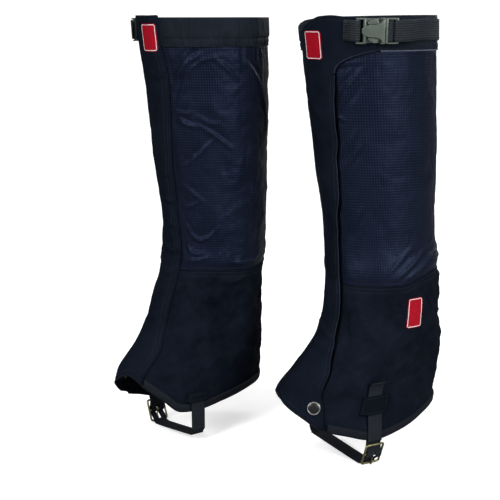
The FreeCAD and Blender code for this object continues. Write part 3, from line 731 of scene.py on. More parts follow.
def slab(around, height, rise, thickness, material, open_low=False, open_high=False):
    """Two-sided sheet on a grid of places; an open end has no rim, so that the next piece carries on."""
    rows, columns = around.shape
    count = rows * columns
    outer = skin(around, height, rise + thickness)
    inner = skin(around, height, rise)
    vertices = np.concatenate([outer.reshape(-1, 3), inner.reshape(-1, 3)])
    faces = grid_faces(rows, columns)
    back = [tuple(reversed([i + count for i in f])) for f in faces]
    loop = [(i, 0) for i in range(rows)]
    loop += [(rows - 1, j) for j in range(1, columns)]
    loop += [(i, columns - 1) for i in range(rows - 2, -1, -1)]
    loop += [(0, j) for j in range(columns - 2, 0, -1)]
    rim = []
    for k, (i, j) in enumerate(loop):
        i2, j2 = loop[(k + 1) % len(loop)]
        low_end = j == 0 and j2 == 0
        high_end = j == columns - 1 and j2 == columns - 1
        if (low_end and open_low) or (high_end and open_high):
            continue
        a = i * columns + j
        b = i2 * columns + j2
        rim.append((b, a, a + count, b + count))
    uv = np.stack([around * PER_DEGREE, height], -1).reshape(-1, 2) / 1000.0
    return leg_object(vertices, faces + back + rim, material, np.concatenate([uv, uv]))


def cloth(first, last, bottom, top, offset, thickness, spacing, material, relief=None,
          open_low=False, open_high=False):
    """A sheet of cloth with real thickness and folds, blended between four edges."""
    wide = abs(float(value(last, 300)) - float(value(first, 300))) * 1.3
    tall = abs(float(value(top, 30)) - float(value(bottom, 30)))
    n_around = max(int(wide / spacing), 4)
    n_up = max(int(tall / spacing), 3)
    around, height = patch_places(first, last, bottom, top, n_around, n_up)
    rise = value(offset, around, height) + np.zeros(around.shape)
    if relief is not None:
        rise = rise + relief(around, height)
    return slab(around, height, rise, thickness, material, open_low, open_high)


def stitches(line, pitch=3.0, length=2.1, radius=0.32):
    """A row of short thread bars along (angle, height, offset) points on the surface."""
    points = skin(line[:, 0], line[:, 1], line[:, 2] - 0.1)
    normals = outward(line[:, 0], line[:, 1])
    place = run_along(points)
    vertices, faces = [], []
    ring = 5
    at = pitch / 2
    while at < place[-1] - pitch / 2:
        spots = [at - length / 2, at - length / 4, at, at + length / 4, at + length / 2]
        sizes = [0.35, 0.95, 1.0, 0.95, 0.35]
        lifts = [-0.5, 0.25, 0.4, 0.25, -0.5]
        middle = [np.array([np.interp(p, place, points[:, c]) for c in range(3)]) for p in spots]
        normal = np.array([np.interp(at, place, normals[:, c]) for c in range(3)])
        ahead = middle[-1] - middle[0]
        ahead /= np.linalg.norm(ahead)
        across = np.cross(ahead, normal)
        start = len(vertices)
        for centre, size, lift in zip(middle, sizes, lifts):
            for k in range(ring):
                a = 2 * math.pi * k / ring
                vertices.append(centre + normal * (lift * radius + math.sin(a) * radius * size)
                                + across * math.cos(a) * radius * size)
        faces += [face[::-1] for face in tube_faces(len(spots), ring, start=start)]
        at += pitch
    return leg_object(vertices, faces, THREAD_DARK)


def run_along(points):
    """Length along a path at each of its points."""
    return np.concatenate([[0], np.cumsum(np.linalg.norm(np.diff(points, axis=0), axis=1))])


def tube_uv(path, profile):
    run = np.repeat(run_along(path), len(profile))
    return np.stack([run, np.tile([p[0] for p in profile], len(path))], -1) / 1000.0


def sweep(path, profile, normals, material, closed=False):
    """Profile (across, out) carried along a 3D path; normals point out at each path point."""
    path = np.asarray(path, float)
    normals = np.asarray(normals, float)
    if closed:
        ahead = np.roll(path, -1, 0) - np.roll(path, 1, 0)
    else:
        ahead = np.gradient(path, axis=0)
    ahead /= np.linalg.norm(ahead, axis=1, keepdims=True)
    normals = normals - (normals * ahead).sum(1, keepdims=True) * ahead
    normals /= np.linalg.norm(normals, axis=1, keepdims=True)
    across = np.cross(normals, ahead)
    profile = np.asarray(profile, float)
    vertices = (path[:, None, :] + across[:, None, :] * profile[None, :, 0:1]
                + normals[:, None, :] * profile[None, :, 1:2])
    faces = tube_faces(len(path), len(profile), closed)
    uv = tube_uv(path, profile)
    return leg_object(vertices.reshape(-1, 3), faces, material, uv)


def strap(path, space, width, thickness, material, middle=0.0, spacing=0.8):
    """A tape along a plane path; space places (a, b, across)."""
    line = resample(path, spacing)
    ahead = np.gradient(line, axis=0)
    ahead /= np.linalg.norm(ahead, axis=1, keepdims=True)
    normal = np.stack([-ahead[:, 1], ahead[:, 0]], -1)
    profile = strap_profile(width, thickness)
    vertices = []
    for here, out in zip(line, normal):
        for across, lift in profile:
            spot = here + out * lift
            vertices.append(space(spot[0], spot[1], middle + across))
    faces = tube_faces(len(line), len(profile))
    return fix_normals(leg_object(vertices, faces, material, tube_uv(line, profile)))


def strap_profile(width, thickness, steps=12):
    """Flat tape with rounded edges, a little thicker at its selvedges."""
    half, t = width / 2.0, thickness / 2.0
    upper = []
    for k in range(steps + 1):
        x = -half + width * k / steps
        edge = 1.0 - abs(x) / half
        upper.append((x, t * (0.45 if edge < 0.01 else 1.0) + (0.06 if 0.01 < edge < 0.2 else 0.0)))
    lower = [(x, -y) for x, y in reversed(upper)]
    return upper + lower


def resample(points, spacing):
    """Smooth curve through points, evenly spaced."""
    points = np.asarray(points, float)
    padded = np.concatenate([[2 * points[0] - points[1]], points, [2 * points[-1] - points[-2]]])
    out = []
    for k in range(1, len(padded) - 2):
        p0, p1, p2, p3 = padded[k - 1:k + 3]
        for t in np.linspace(0, 1, 12, endpoint=False):
            out.append(0.5 * (2 * p1 + (p2 - p0) * t + (2 * p0 - 5 * p1 + 4 * p2 - p3) * t ** 2
                              + (3 * p1 - p0 - 3 * p2 + p3) * t ** 3))
    out.append(points[-1])
    out = np.array(out)
    run = run_along(out)
    places = np.linspace(0, run[-1], max(int(run[-1] / spacing), 2) + 1)
    return np.stack([np.interp(places, run, out[:, c]) for c in range(out.shape[1])], -1)


def outline_solid(outline, low, high, place, material, bevel=0.6, dome=0.0):
    """An outline (u, v) given depth from low to high, edges rounded by a bevel, set by place(u, w, v)."""
    mesh = bmesh.new()
    bottom = [mesh.verts.new((u, v, low)) for u, v in outline]
    face = mesh.faces.new(bottom)
    grown = bmesh.ops.extrude_face_region(mesh, geom=[face])
    for item in grown["geom"]:
        if isinstance(item, bmesh.types.BMVert):
            item.co.z = high
    bmesh.ops.recalc_face_normals(mesh, faces=mesh.faces)
    bmesh.ops.bevel(mesh, geom=list(mesh.edges), offset=bevel, segments=3, profile=0.6, affect="EDGES",
                    clamp_overlap=True)
    if dome:
        centre = np.mean(outline, axis=0)
        reach = max(math.hypot(u - centre[0], v - centre[1]) for u, v in outline)
        bmesh.ops.triangulate(mesh, faces=[f for f in mesh.faces if len(f.verts) > 4])
        for vert in mesh.verts:
            if vert.co.z > (low + high) / 2:
                r = math.hypot(vert.co.x - centre[0], vert.co.y - centre[1]) / reach
                vert.co.z += dome * (1 - min(r, 1) ** 2)
    vertices = [place(v.co.x, v.co.z, v.co.y) for v in mesh.verts]
    mesh.verts.index_update()
    faces = [tuple(v.index for v in f.verts) for f in mesh.faces]
    mesh.free()
    return fix_normals(leg_object(vertices, faces, material))


def fix_normals(thing):
    """Weld points that coincide and turn every face outward."""
    mesh = bmesh.new()
    mesh.from_mesh(thing.data)
    bmesh.ops.remove_doubles(mesh, verts=mesh.verts, dist=0.00001)
    bmesh.ops.recalc_face_normals(mesh, faces=mesh.faces)
    mesh.to_mesh(thing.data)
    mesh.free()
    return thing


def lathe(profile, material, steps=48):
    """Turned shape on the snap's axis; profile is (radius, distance out) from the axis outward."""
    centre = skin(SNAP_AROUND, SNAP_HEIGHT, 0.0).reshape(3)
    normal = outward(np.array(SNAP_AROUND), np.array(SNAP_HEIGHT)).reshape(3)
    up = np.array([0.0, 0.0, 1.0]) - normal * normal[2]
    up /= np.linalg.norm(up)
    across = np.cross(up, normal)
    vertices = []
    for k in range(steps):
        a = 2 * math.pi * k / steps
        for r, out in profile:
            vertices.append(centre + normal * out + (up * math.sin(a) + across * math.cos(a)) * r)
    return fix_normals(leg_object(vertices, grid_faces(steps, len(profile), closed=True), material))


def join(things):
    """Join meshes into the first, which keeps all their materials."""
    if len(things) > 1:
        bpy.ops.object.select_all(action="DESELECT")
        for thing in things:
            thing.select_set(True)
        bpy.context.view_layer.objects.active = things[0]
        bpy.ops.object.join()
    return things[0]


def settle(name, node, parts, body=None):
    """Join and name a piece that stands for a CAD node; it rides on a CAD body if one is given."""
    side = gaiter["side"] + "_"
    thing = join(parts)
    thing.name = thing.data.name = side + name
    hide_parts(side + node)
    if body:
        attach(thing, side + body)
    return thing


# ---- Cloth of one gaiter ----

SETTLE_FRAMES = 32
SETTLE_REACH = 2.6       # most that a settled sheet stands out or in, millimetres


def calm(around, height, spots):
    """1 over most of the cloth, 0 in each oval (angle, height, reach around, reach up)."""
    keep = np.ones(np.shape(around))
    for a, h, wide, tall in spots:
        keep = keep * (1 - np.exp(-(((around - a) / wide) ** 4) - ((height - h) / tall) ** 4))
    return keep


def drape(side, bottom, top, growth, stiffness, share, columns=84, rows=56):
    """Let a slack sheet settle under its own weight, held at its four edges.

    Returns a function of angle and height: millimetres that the cloth moved outward.
    """

    def span(around, height):
        last = 360 + inner_seam(height)
        return FRONT_EDGE + 8.0, last, bottom(around), top(around)

    s, t = np.meshgrid(np.linspace(0, 1, columns), np.linspace(0, 1, rows), indexing="ij")
    around, height = 20 + 300 * s, 100 + 300 * t
    for _ in range(4):
        first, last, low, high = span(around, height)
        around = first + (last - first) * s
        height = low + (high - low) * t
    start = skin(around, height, 0.6)
    normals = outward(around, height)
    ripple = noise_at(around, height, 22.0, 30.0, 5.3 if side == "left" else 9.1)
    begun = start + normals * (0.5 * ripple * np.sin(np.pi * s) * np.sin(np.pi * t))[..., None]
    sheet = bpy.data.meshes.new("slack")
    sheet.from_pydata((begun.reshape(-1, 3) / 1000.0).tolist(), [], grid_faces(columns, rows))
    thing = bpy.data.objects.new("slack", sheet)
    bpy.context.scene.collection.objects.link(thing)
    pins = thing.vertex_groups.new(name="pins")
    held = (s < 0.012) | (s > 0.988) | (t < 0.02) | (t > 0.98)
    pins.add([int(k) for k in np.flatnonzero(held.ravel())], 1.0, "REPLACE")
    modifier = thing.modifiers.new("cloth", "CLOTH")
    settings = modifier.settings
    settings.quality = 6
    settings.mass = 0.0004
    settings.tension_stiffness = settings.compression_stiffness = 12.0
    settings.shear_stiffness = 6.0
    settings.bending_stiffness = stiffness
    settings.air_damping = 2.0
    settings.vertex_group_mass = "pins"
    settings.shrink_min = -growth
    settings.use_pressure = True
    settings.uniform_pressure_force = 0.012
    modifier.collision_settings.use_collision = False
    scene = bpy.context.scene
    modifier.point_cache.frame_end = SETTLE_FRAMES
    for frame_number in range(1, SETTLE_FRAMES + 1):
        scene.frame_set(frame_number)
    settled = thing.evaluated_get(bpy.context.evaluated_depsgraph_get()).to_mesh()
    points = np.empty(len(settled.vertices) * 3)
    settled.vertices.foreach_get("co", points)
    moved = ((points.reshape(start.shape) * 1000.0 - start) * normals).sum(-1)
    scene.frame_set(1)
    bpy.data.objects.remove(thing)
    moved = SETTLE_REACH * share * np.tanh((moved - moved.mean()) / SETTLE_REACH)

    def relief(around, height):
        first, last, low, high = span(around, height)
        x = np.clip((around - first) / (last - first), 0, 1) * (columns - 1)
        y = np.clip((height - low) / (high - low), 0, 1) * (rows - 1)
        i = np.clip(x.astype(int), 0, columns - 2)
        j = np.clip(y.astype(int), 0, rows - 2)
        u, v = smooth_step(x - i), smooth_step(y - j)
        return ((1 - u) * (1 - v) * moved[i, j] + u * (1 - v) * moved[i + 1, j]
                + (1 - u) * v * moved[i, j + 1] + u * v * moved[i + 1, j + 1])
    return relief


# the right gaiter hangs looser: extra cloth, bending stiffness, share of the result that is used
SLACK = {"left": (0.007, 0.6, 0.30), "right": (0.010, 0.3, 0.55)}


def upper_relief(side):
    seed = 3.1 if side == "left" else 8.7
    loose, gathered = (0.4, 0.7) if side == "left" else (0.75, 1.5)
    slack, stiff, share = SLACK[side]
    settled = drape(side, panel_seam, lambda a: CASING_BOTTOM[side] + 0.0 * a, slack, stiff, share)

    def relief(around, height):
        low = panel_seam(around)
        edge = smooth_step((height - low) / 10.0) * smooth_step((CASING_BOTTOM[side] + 2 - height) / 10.0)
        front = smooth_step((around - FRONT_EDGE - 10) / 14.0)
        back = smooth_step((360 + inner_seam(height) - around) / 3.0)
        crumple = noise_at(around, height, 34.0, 46.0, seed) * 1.6 * loose
        crumple += noise_at(around, height, 13.0, 19.0, seed + 4) * 0.55 * loose
        near_top = np.exp(-((CASING_BOTTOM[side] - height) / 26.0) ** 2)
        pucker = noise_at(around, height, 6.0, 60.0, seed + 9) * gathered * near_top
        folds = fold_height(UPPER_FOLDS[side], around, height) * 1.35
        sag = 2.0 * np.exp(-((height - low - 14) / 12.0) ** 2)
        return (crumple + pucker + folds + sag + settled(around, height)) * edge * front * back
    return relief


# places where the canvas lies flat: outer patch, inner patch, label and snap
LOWER_CALM = (
    (90, 75, 22, 24),
    (264, 66, 18, 22),
    (*SIDE_LABEL, 13, 24),
    (SNAP_AROUND, SNAP_HEIGHT, 12, 15),
)


def lower_relief(side):
    seed = 13.3 if side == "left" else 21.9
    settled = drape(side, hem, panel_seam, 0.012, 0.4, 0.75, 72, 34)

    def relief(around, height):
        edge = smooth_step((panel_seam(around) - height) / 8.0) * smooth_step((height - hem(around)) / 14.0)
        front = smooth_step((around - FRONT_EDGE - 10) / 14.0)
        back = smooth_step((360 + inner_seam(height) - around) / 4.0)
        quiet = calm(around, height, LOWER_CALM)
        crumple = noise_at(around, height, 42.0, 40.0, seed) * 2.4
        crumple += noise_at(around, height, 15.0, 15.0, seed + 4) * 0.85
        folds = fold_height(LOWER_FOLDS[side], around, height)
        return (crumple + folds + settled(around, height)) * edge * front * back * quiet
    return relief


def flap_offset(around, height):
    t = smooth_step((around - inner_seam(height)) / 14.0)
    return SEAM_OFFSET + (FLAP_OFFSET - SEAM_OFFSET) * t


def flap_relief(side):
    seed = 31.7 if side == "left" else 44.1

    def relief(around, height):
        sewn = smooth_step((around - inner_seam(height)) / 6.0)
        quiet = calm(around, height, ((SNAP_AROUND, SNAP_HEIGHT, 10, 15),))
        low = smooth_step((height - hem(around)) / 10.0)
        crumple = noise_at(around, height, 26.0, 38.0, seed) * 1.1
        return (crumple + fold_height(FLAP_FOLDS[side], around, height)) * sewn * quiet * low
    return relief


def casing_relief(side):
    seed = 52.3 if side == "left" else 61.9

    def relief(around, height):
        rise = (height - CASING_BOTTOM[side]) / (TOP_EDGE - CASING_BOTTOM[side])
        gather = noise_at(around, height, 3.4, 60.0, seed, 2) * (1.0 - 0.55 * rise)
        roll = 1.2 * np.sqrt(np.clip(1 - (2 * rise - 1) ** 2, 0, 1))
        channel = -0.9 * np.exp(-((height - CASING_BOTTOM[side] - 8.5) / 1.5) ** 2)
        slow = noise_at(around, height, 16.0, 50.0, seed + 3) * (0.7 if side == "left" else 1.3)
        quiet = 1 - 0.85 * smooth_step((height - 482) / 4.0) * np.exp(-((around - 96) / 58.0) ** 6)
        under_flap = smooth_step((359 + inner_seam(height) - around) / 4.0)
        return ((gather * 0.8 + slow) * quiet + roll + channel) * under_flap
    return relief


def wing_relief(side):
    """The wing carries on from the flap's folds and lies flat behind the buckle."""
    below = flap_relief(side)
    seed = 71.0 if side == "left" else 77.0

    def relief(around, height):
        fade = smooth_step((height - WING_FOLD) / 14.0)
        wave = noise_at(around, height, 30.0, 24.0, seed) * 0.7 * smooth_step((30 - around) / 10.0)
        quiet = calm(around, height, ((*FRONT_LABEL[side], 15, 22),))
        return below(around, height) * (1 - fade) * (around < 27) + wave * fade * quiet
    return relief


# top edges of the left gaiter, which dip toward its sewn seam; the right one's are level
FLAP_DIP = [(-13, 494.5), (-7, 496.5), (-3, 499.5), (5, 504), (11, 508), (17, 510.5), (28, 511.5),
            (40, 510), (63, 508.5)]
CASING_DIP = [(8, 505), (40, 508.5), (66, 509.5), (110, 510.5), (150, 512), (190, 512), (260, 510.5),
              (300, 507), (322, 501), (336, 496.5), (348, 494.5)]


def top_edge(side, dip, level):
    """Height of a top edge, by angle."""
    if side == "right":
        return lambda around: level - 0.5 + 0.0 * np.asarray(around, float)
    return lambda around: along(dip, around)


def sewn_flap_edge(height):
    return inner_seam(height) + 0.4


def flap_row(low, high, inset, lift, relief, edge=flap_edge):
    """Points beside one of the flap's long edges, riding on its outer face."""
    height = np.linspace(low, high, 60)
    around = edge(height) + inset
    return line_on(around, height, flap_offset(around, height) + lift, relief)


def edge_cord(line, radius, material):
    """Round cord along (angle, height, offset) points."""
    path = skin(line[:, 0], line[:, 1], line[:, 2])
    return sweep(path, round_profile(radius, 8), outward(line[:, 0], line[:, 1]), material)


def flap_piece(low, high, relief, open_low):
    """One length of the flap, its edge cord and its stitch rows."""
    start = float(low if not callable(low) else 97.0)
    flap = cloth(sewn_flap_edge, flap_edge, low, high, flap_offset, FLAP_THICK, 1.7,
                 MATERIALS["flap_cloth"], relief, open_low, True)
    free = flap_row(start, high, -0.15, 0.75, relief)
    # the edge cord is the flap's rolled edge, coloured lighter as a painted highlight
    parts = [flap, edge_cord(free, 0.62, EDGE_ROLL_HIGHLIGHT)]
    for inset, edge in ((-3.4, flap_edge), (SEAM_ROWS[0], sewn_flap_edge), (SEAM_ROWS[1], sewn_flap_edge)):
        row = flap_row(start, high, inset, FLAP_THICK + THREAD_LIFT, relief, edge)
        parts.append(stitches(row))
    if callable(low):
        around = np.linspace(-27.0, 46.0, 60)
        height = hem(around) - 0.4
        rise = flap_offset(around, height)
        parts.append(edge_cord(line_on(around, height, rise + 0.7), 0.95, MATERIALS["binding"]))
        row = line_on(around, height + 5.0, rise + FLAP_THICK + THREAD_LIFT)
        parts.append(stitches(row))
    return parts


def bend(piece):
    """Bake the piece's transform into its mesh."""
    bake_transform(piece)


def painted_flap_shadow(low, high, relief, lift):
    """Painted shadow beside the flap's free edge: a near-black strip of cloth on the panel that stands for
    the shade under that edge.
    """
    def showing(height):
        return flap_edge(height) + 0.3 + 1.8 * smooth_step((448 - height) / 24.0)
    return cloth(lambda z: flap_edge(z) - 1.5, showing, low, high,
                 lambda a, z: lift + relief(a, z), 0.5, 1.5, FLAP_SHADOW_CLOTH)


def sewn_edge(height):
    """Where the panels and the band end, under the flap's sewn edge."""
    return 360 + inner_seam(height) + 2.5


SEAM_RUN = np.linspace(24.0, 330.0, 300)    # angles of the stitch rows along the panel seam


def build_upper_panel(side):
    relief = upper_relief(side)
    panel = cloth(FRONT_EDGE, sewn_edge, lambda a: panel_seam(a) + 0.2,
                  CASING_BOTTOM[side] - 0.2, 0.0, RIPSTOP_THICK, 1.9, MATERIALS["ripstop"], relief)
    line = line_on(SEAM_RUN, panel_seam(SEAM_RUN) + 2.6, 0.95, relief)
    # painted shadow strip beside the flap's free edge
    edge = painted_flap_shadow(lambda a: panel_seam(a) + 1.0, 449.0, relief, 0.8)
    settle("ripstop_panel", "upper_panel", [panel, edge, stitches(line)], "shell")


def build_lower_panel(relief):
    panel = cloth(FRONT_EDGE, sewn_edge, hem, lambda a: panel_seam(a) - 0.2,
                  0.0, CANVAS_THICK, 2.0, MATERIALS["canvas"], relief)
    # the second part is a painted shadow strip beside the flap's free edge
    parts = [panel, painted_flap_shadow(101.0, lambda a: panel_seam(a) + 1.0, relief, 1.0)]
    for drop in (2.4, 7.0):
        line = line_on(SEAM_RUN, panel_seam(SEAM_RUN) - drop, CANVAS_THICK, relief)
        parts.append(stitches(line))
    seam = line_on(SEAM_RUN, panel_seam(SEAM_RUN), 1.1)
    parts.append(edge_cord(seam, 0.9, MATERIALS["canvas"]))
    settle("canvas_panel", "lower_panel", parts, "shell")


def build_band(side):
    gathers = casing_relief(side)
    top = top_edge(side, CASING_DIP, TOP_EDGE)
    casing = cloth(8.0, sewn_edge, CASING_BOTTOM[side], top,
                   0.0, BAND_THICK, 1.1, MATERIALS["casing"], gathers)
    around = np.linspace(66.0, 344.0, 420)
    height = np.full(around.shape, CASING_BOTTOM[side] + 0.2)
    line = line_on(around, height, 1.9 + 0.7 * gathers(around, height))
    # the seam cord is painted pale only on the outer side, a painted highlight where the fold catches the
    # light; on the inner side it keeps the band's own colour
    lit_outer_side = around < 172
    parts = [casing, edge_cord(line[lit_outer_side], 0.8, BAND_CORD_HIGHLIGHT),
             edge_cord(line[~lit_outer_side], 0.8, MATERIALS["casing"]),
             stitches(line + (0, 2.6, 0.1))]
    settle("casing_band", "top_casing", parts, "shell")


def build_binding():
    width = 8.0
    binding = cloth(53.0, float(359.0 + inner_seam(90)), lambda a: hem(a) - 0.6,
                    lambda a: hem(a) + width, 1.6, BINDING_THICK, 1.4, MATERIALS["binding"],
                    lambda a, z: 0.35 * np.sin(np.pi * np.clip((z - hem(a)) / width, 0, 1)))
    around = np.linspace(53.0, 333.0, 360)
    roll = edge_cord(line_on(around, hem(around) - 0.5, 0.9), 1.5, MATERIALS["binding"])
    row = stitches(line_on(around, hem(around) + 5.6, 2.65))
    settle("hem_tape", "hem_binding", [binding, roll, row], "shell")


def build_wing(side):
    top = top_edge(side, FLAP_DIP, FLAP_TOP)
    over_wing = wing_relief(side)
    wing = cloth(sewn_flap_edge, WING_END,
                 lambda a: along(WING_LINE, a), top, flap_offset, FLAP_THICK, 1.5,
                 MATERIALS["flap_cloth"], over_wing, open_low=True)
    around = np.linspace(float(sewn_flap_edge(505)) + 1, WING_END - 1, 60)
    height = top(around)
    line = line_on(around, height, flap_offset(around, height) + 0.7, over_wing)
    parts = [wing, edge_cord(line, 0.8, MATERIALS["flap_cloth"]),
             stitches(line + (0, -3.6, 0.75))]
    height = np.linspace(WING_FOLD, 494.0, 30)
    for inset in SEAM_ROWS:
        spot = sewn_flap_edge(height) + inset
        row = line_on(spot, height, flap_offset(spot, height) + FLAP_THICK + THREAD_LIFT, over_wing)
        parts.append(stitches(row))
    around = np.linspace(26.9, WING_END - 0.5, 70)
    height = along(WING_LINE, around)
    line = line_on(around, height, flap_offset(around, height) + 0.75)
    # rolled lower edge of the wing, coloured lighter as a painted highlight
    parts.append(edge_cord(line, 0.8, EDGE_ROLL_HIGHLIGHT))
    settle("flap_wing_cloth", "flap_wing", parts, "shell")


def build_flap(relief):
    pieces = (
        ("upper_top", "flap_upper", FLAP_SPLIT, WING_FOLD, True),
        ("upper_low", "flap_upper", ANKLE_FOLD, FLAP_SPLIT, True),
        ("lower", "flap_lower", lambda a: hem(a) - 0.5, ANKLE_FOLD, False),
    )
    for key, node, low, high, open_low in pieces:
        parts = flap_piece(low, high, relief, open_low)
        bend(settle("flap_%s_cloth" % key, node, parts))


def build_hook_tapes(relief):
    def under(around, height):
        return flap_offset(around, height) + relief(around, height) - 1.0

    tapes = (
        ("upper_top", "hook_tape_upper", FLAP_SPLIT, 440.0),
        ("upper_low", "hook_tape_upper", 207.0, FLAP_SPLIT),
        ("lower", "hook_tape_lower", 116.0, 197.0),
    )
    for key, node, low, high in tapes:
        tape = cloth(FRONT_EDGE + 1.5, lambda z: flap_edge(z) - 2.5,
                     low, high, under, HOOK_TAPE_THICK, 2.0, MATERIALS["hook_plastic"])
        bend(settle("hook_tape_" + key, node, [tape]))


# ---- Trims and hardware ----

def label_patch(centre, reach, offset):
    """Woven label with rounded corners and a plain pale border."""
    corner, margin = 3.2, 1.3
    half_wide, half_tall = reach[0] * PER_DEGREE, reach[1]
    t = np.linspace(-1, 1, 29)
    from_top = half_tall * (1 - np.abs(t))
    inset = corner - np.sqrt(np.clip(corner ** 2 - np.clip(corner - from_top, 0, corner) ** 2, 0, None))
    s = np.linspace(-1, 1, 21)
    around = centre[0] + s[:, None] * (half_wide - inset)[None, :] / PER_DEGREE
    height = centre[1] + np.broadcast_to(t * half_tall, around.shape)
    body = slab(around, height, offset(around, height), LABEL_THICK, MATERIALS["label"])
    border = rounded_rectangle(half_wide - margin, half_tall - margin, corner - margin, 6)
    border = np.array(border + border[:1])
    run = np.linspace(0, len(border) - 1, 240)
    a = centre[0] + np.interp(run, range(len(border)), border[:, 0]) / PER_DEGREE
    h = centre[1] + np.interp(run, range(len(border)), border[:, 1])
    raised = [(-0.45, 0), (-0.3, 0.22), (0.3, 0.22), (0.45, 0)]
    rim = sweep(skin(a, h, offset(a, h) + LABEL_THICK - 0.03), raised, outward(a, h), THREAD_WHITE)
    return join([body, rim])


def build_labels(side, canvas_relief):
    relief = wing_relief(side)

    def over_flap(around, height):
        return flap_offset(around, height) + relief(around, height) + 1.35
    front = label_patch(FRONT_LABEL[side], LABEL_REACH["front"], over_flap)
    rear = label_patch(SIDE_LABEL, LABEL_REACH["side"], lambda a, h: 1.25 + canvas_relief(a, h))
    settle("labels", "woven_labels", [front, rear], "shell")


def build_snap_cap():
    face = FLAP_OFFSET + FLAP_THICK
    ring = [(6.0, 0.9), (6.3, 1.6), (6.7, 1.75), (7.2, 1.5), (7.5, 0.9), (7.5, 0.35), (6.8, 0.15)]
    dome = [(0.0, 1.9), (2.5, 1.85), (4.6, 1.6), (5.8, 1.25), (6.3, 0.7)]
    shank = [(0.0, 4.0 - face), (1.4, 4.0 - face), (1.45, 4.4 - face), (1.45, 0.4), (0.0, 0.5)]
    parts = []
    for profile, kind in ((ring, "snap_steel"), (dome, "snap_enamel"), (shank, "snap_steel")):
        parts.append(lathe([(r, face + out) for r, out in profile], MATERIALS[kind]))
    settle("snap_cap", "snap_cap", parts, "flap_lower")


def buckle_plate(outline, low, high, bevel=0.6, dome=0.0):
    """Outline in (along, up) on the buckle, between two depths outward from its middle."""
    return outline_solid(outline, low, high,
                         lambda u, w, v: buckle_space(u, -w, v), MATERIALS["buckle_plastic"], bevel, dome)


def mirrored(half_outline):
    """Closed outline from its upper half, given from one end to the other."""
    return half_outline + [(u, -v) for u, v in reversed(half_outline)]


def rectangle(u0, u1, v0, v1):
    return [(u0, v0), (u1, v0), (u1, v1), (u0, v1)]


def build_socket():
    wide = BUCKLE_HALF
    tongue = [(-17.0, 2.0), (-15.0, 4.4), (-10.0, 6.2), (-2.0, 6.6), (3.0, 8.2), (5.6, 12.2), (8.0, 13.2)]
    back = [(-13.0, wide - 0.4), (-4.0, wide - 0.8), (FEMALE_MOUTH, wide - 0.2)]
    parts = [
        buckle_plate(mirrored(tongue), 2.3, 4.0, 0.5, 0.5),
        buckle_plate(mirrored(back), -3.7, -2.3, 0.5),
        buckle_plate(rectangle(-15.2, -12.4, -wide, wide), -3.5, 3.5, 1.0),
        buckle_plate(rectangle(FEMALE_BACK, FEMALE_BACK + 3.0, -wide, wide), -1.1, 1.1, 0.7),
    ]
    for sign in (-1, 1):
        rail = rectangle(FEMALE_BACK, -12.6, sign * (wide - 1.6), sign * wide)
        lip = rectangle(3.4, FEMALE_MOUTH, sign * (wide - 1.3), sign * wide)
        parts += [buckle_plate(rail, -2.6, 2.6, 0.5), buckle_plate(lip, -3.4, 3.6, 0.4)]
    settle("buckle_socket", "buckle_female", parts, "shell")


def build_plug():
    wide = BUCKLE_HALF
    parts = [
        buckle_plate(rectangle(MALE_FRONT, 11.4, -wide + 0.2, wide - 0.2), -3.1, 3.1, 1.0),
        buckle_plate(rectangle(19.8, MALE_BACK, -wide, wide), -1.2, 1.6, 0.8),
        buckle_plate(rectangle(-9.0, 9.2, -2.0, 2.0), -1.4, 1.4, 0.4),
    ]
    for sign in (-1, 1):
        parts.append(buckle_plate(rectangle(10.6, 20.6, sign * (wide - 1.5), sign * wide), -2.6, 2.8, 0.5))
    settle("buckle_plug_frame", "buckle_male", parts, "buckle_plug")


def build_latches():
    arm = [(7.9, 7.0), (7.9, 9.4), (1.0, 9.0), (0.6, 12.4), (-3.5, 12.8), (-9.0, 9.6), (-10.5, 7.2),
           (-8.0, 6.4), (-2.0, 6.8)]
    for word, sign in (("upper", 1), ("lower", -1)):
        latch = buckle_plate([(u, sign * v) for u, v in arm], -1.5, 1.5, 0.4)
        settle("latch_%s_arm" % word, "latch_arm_" + word, [latch], "latch_" + word)


def build_webbing_tab():
    path = [in_buckle(skin(38.0 + 1.2 * k, BUCKLE_HEIGHT, FLAP_OFFSET + 2.9).reshape(3)) for k in range(4)]
    bar = (FEMALE_BACK + 1.5, 0.0)
    path += [(bar[0] - 3.0, 3.2)]
    path += arc(bar, 2.8, 95, -90, 12)
    path += [(bar[0] - 3.0, -2.0), (bar[0] - 7.0, 1.4)]
    tab = strap(path, buckle_space, WEB_WIDTH - 1, WEB_THICK, MATERIALS["webbing"])
    settle("sewn_tab", "webbing_tab", [tab], "shell")


def build_strap_end():
    bar = (MALE_BACK - 1.6, 0.0)
    path = arc(bar, 2.7, 75, 262, 10)
    for around, offset in ((87, 13.6), (92, 10.0), (97, 7.2), (102, 5.8), (107, 5.4), (112, 5.3)):
        path.append(in_buckle(skin(around, BUCKLE_HEIGHT, offset).reshape(3)))
    end = strap(path, buckle_space, WEB_WIDTH, WEB_THICK, MATERIALS["webbing"])
    bridge = strap([(11.2, -0.6), (13.5, -1.3), (16.0, -0.9), (18.0, 0.8)], buckle_space,
                   WEB_WIDTH, 1.1, MATERIALS["webbing"])
    settle("running_end", "strap_end", [end, bridge], "buckle_plug")


def build_top_webbing():
    around, height = np.meshgrid(np.linspace(84, 150, 60), BUCKLE_HEIGHT + np.linspace(-11.5, 11.5, 16),
                                 indexing="ij")
    web = slab(around, height, WEB_LIFT + 0 * around, WEB_THICK, MATERIALS["webbing"])
    row = np.linspace(118, 148, 40)
    parts = [web]
    for rise in (-9.0, 9.0):
        line = line_on(row, BUCKLE_HEIGHT + rise, WEB_LIFT + WEB_THICK + THREAD_LIFT)
        parts.append(stitches(line))
    settle("top_strap", "top_webbing", parts, "shell")


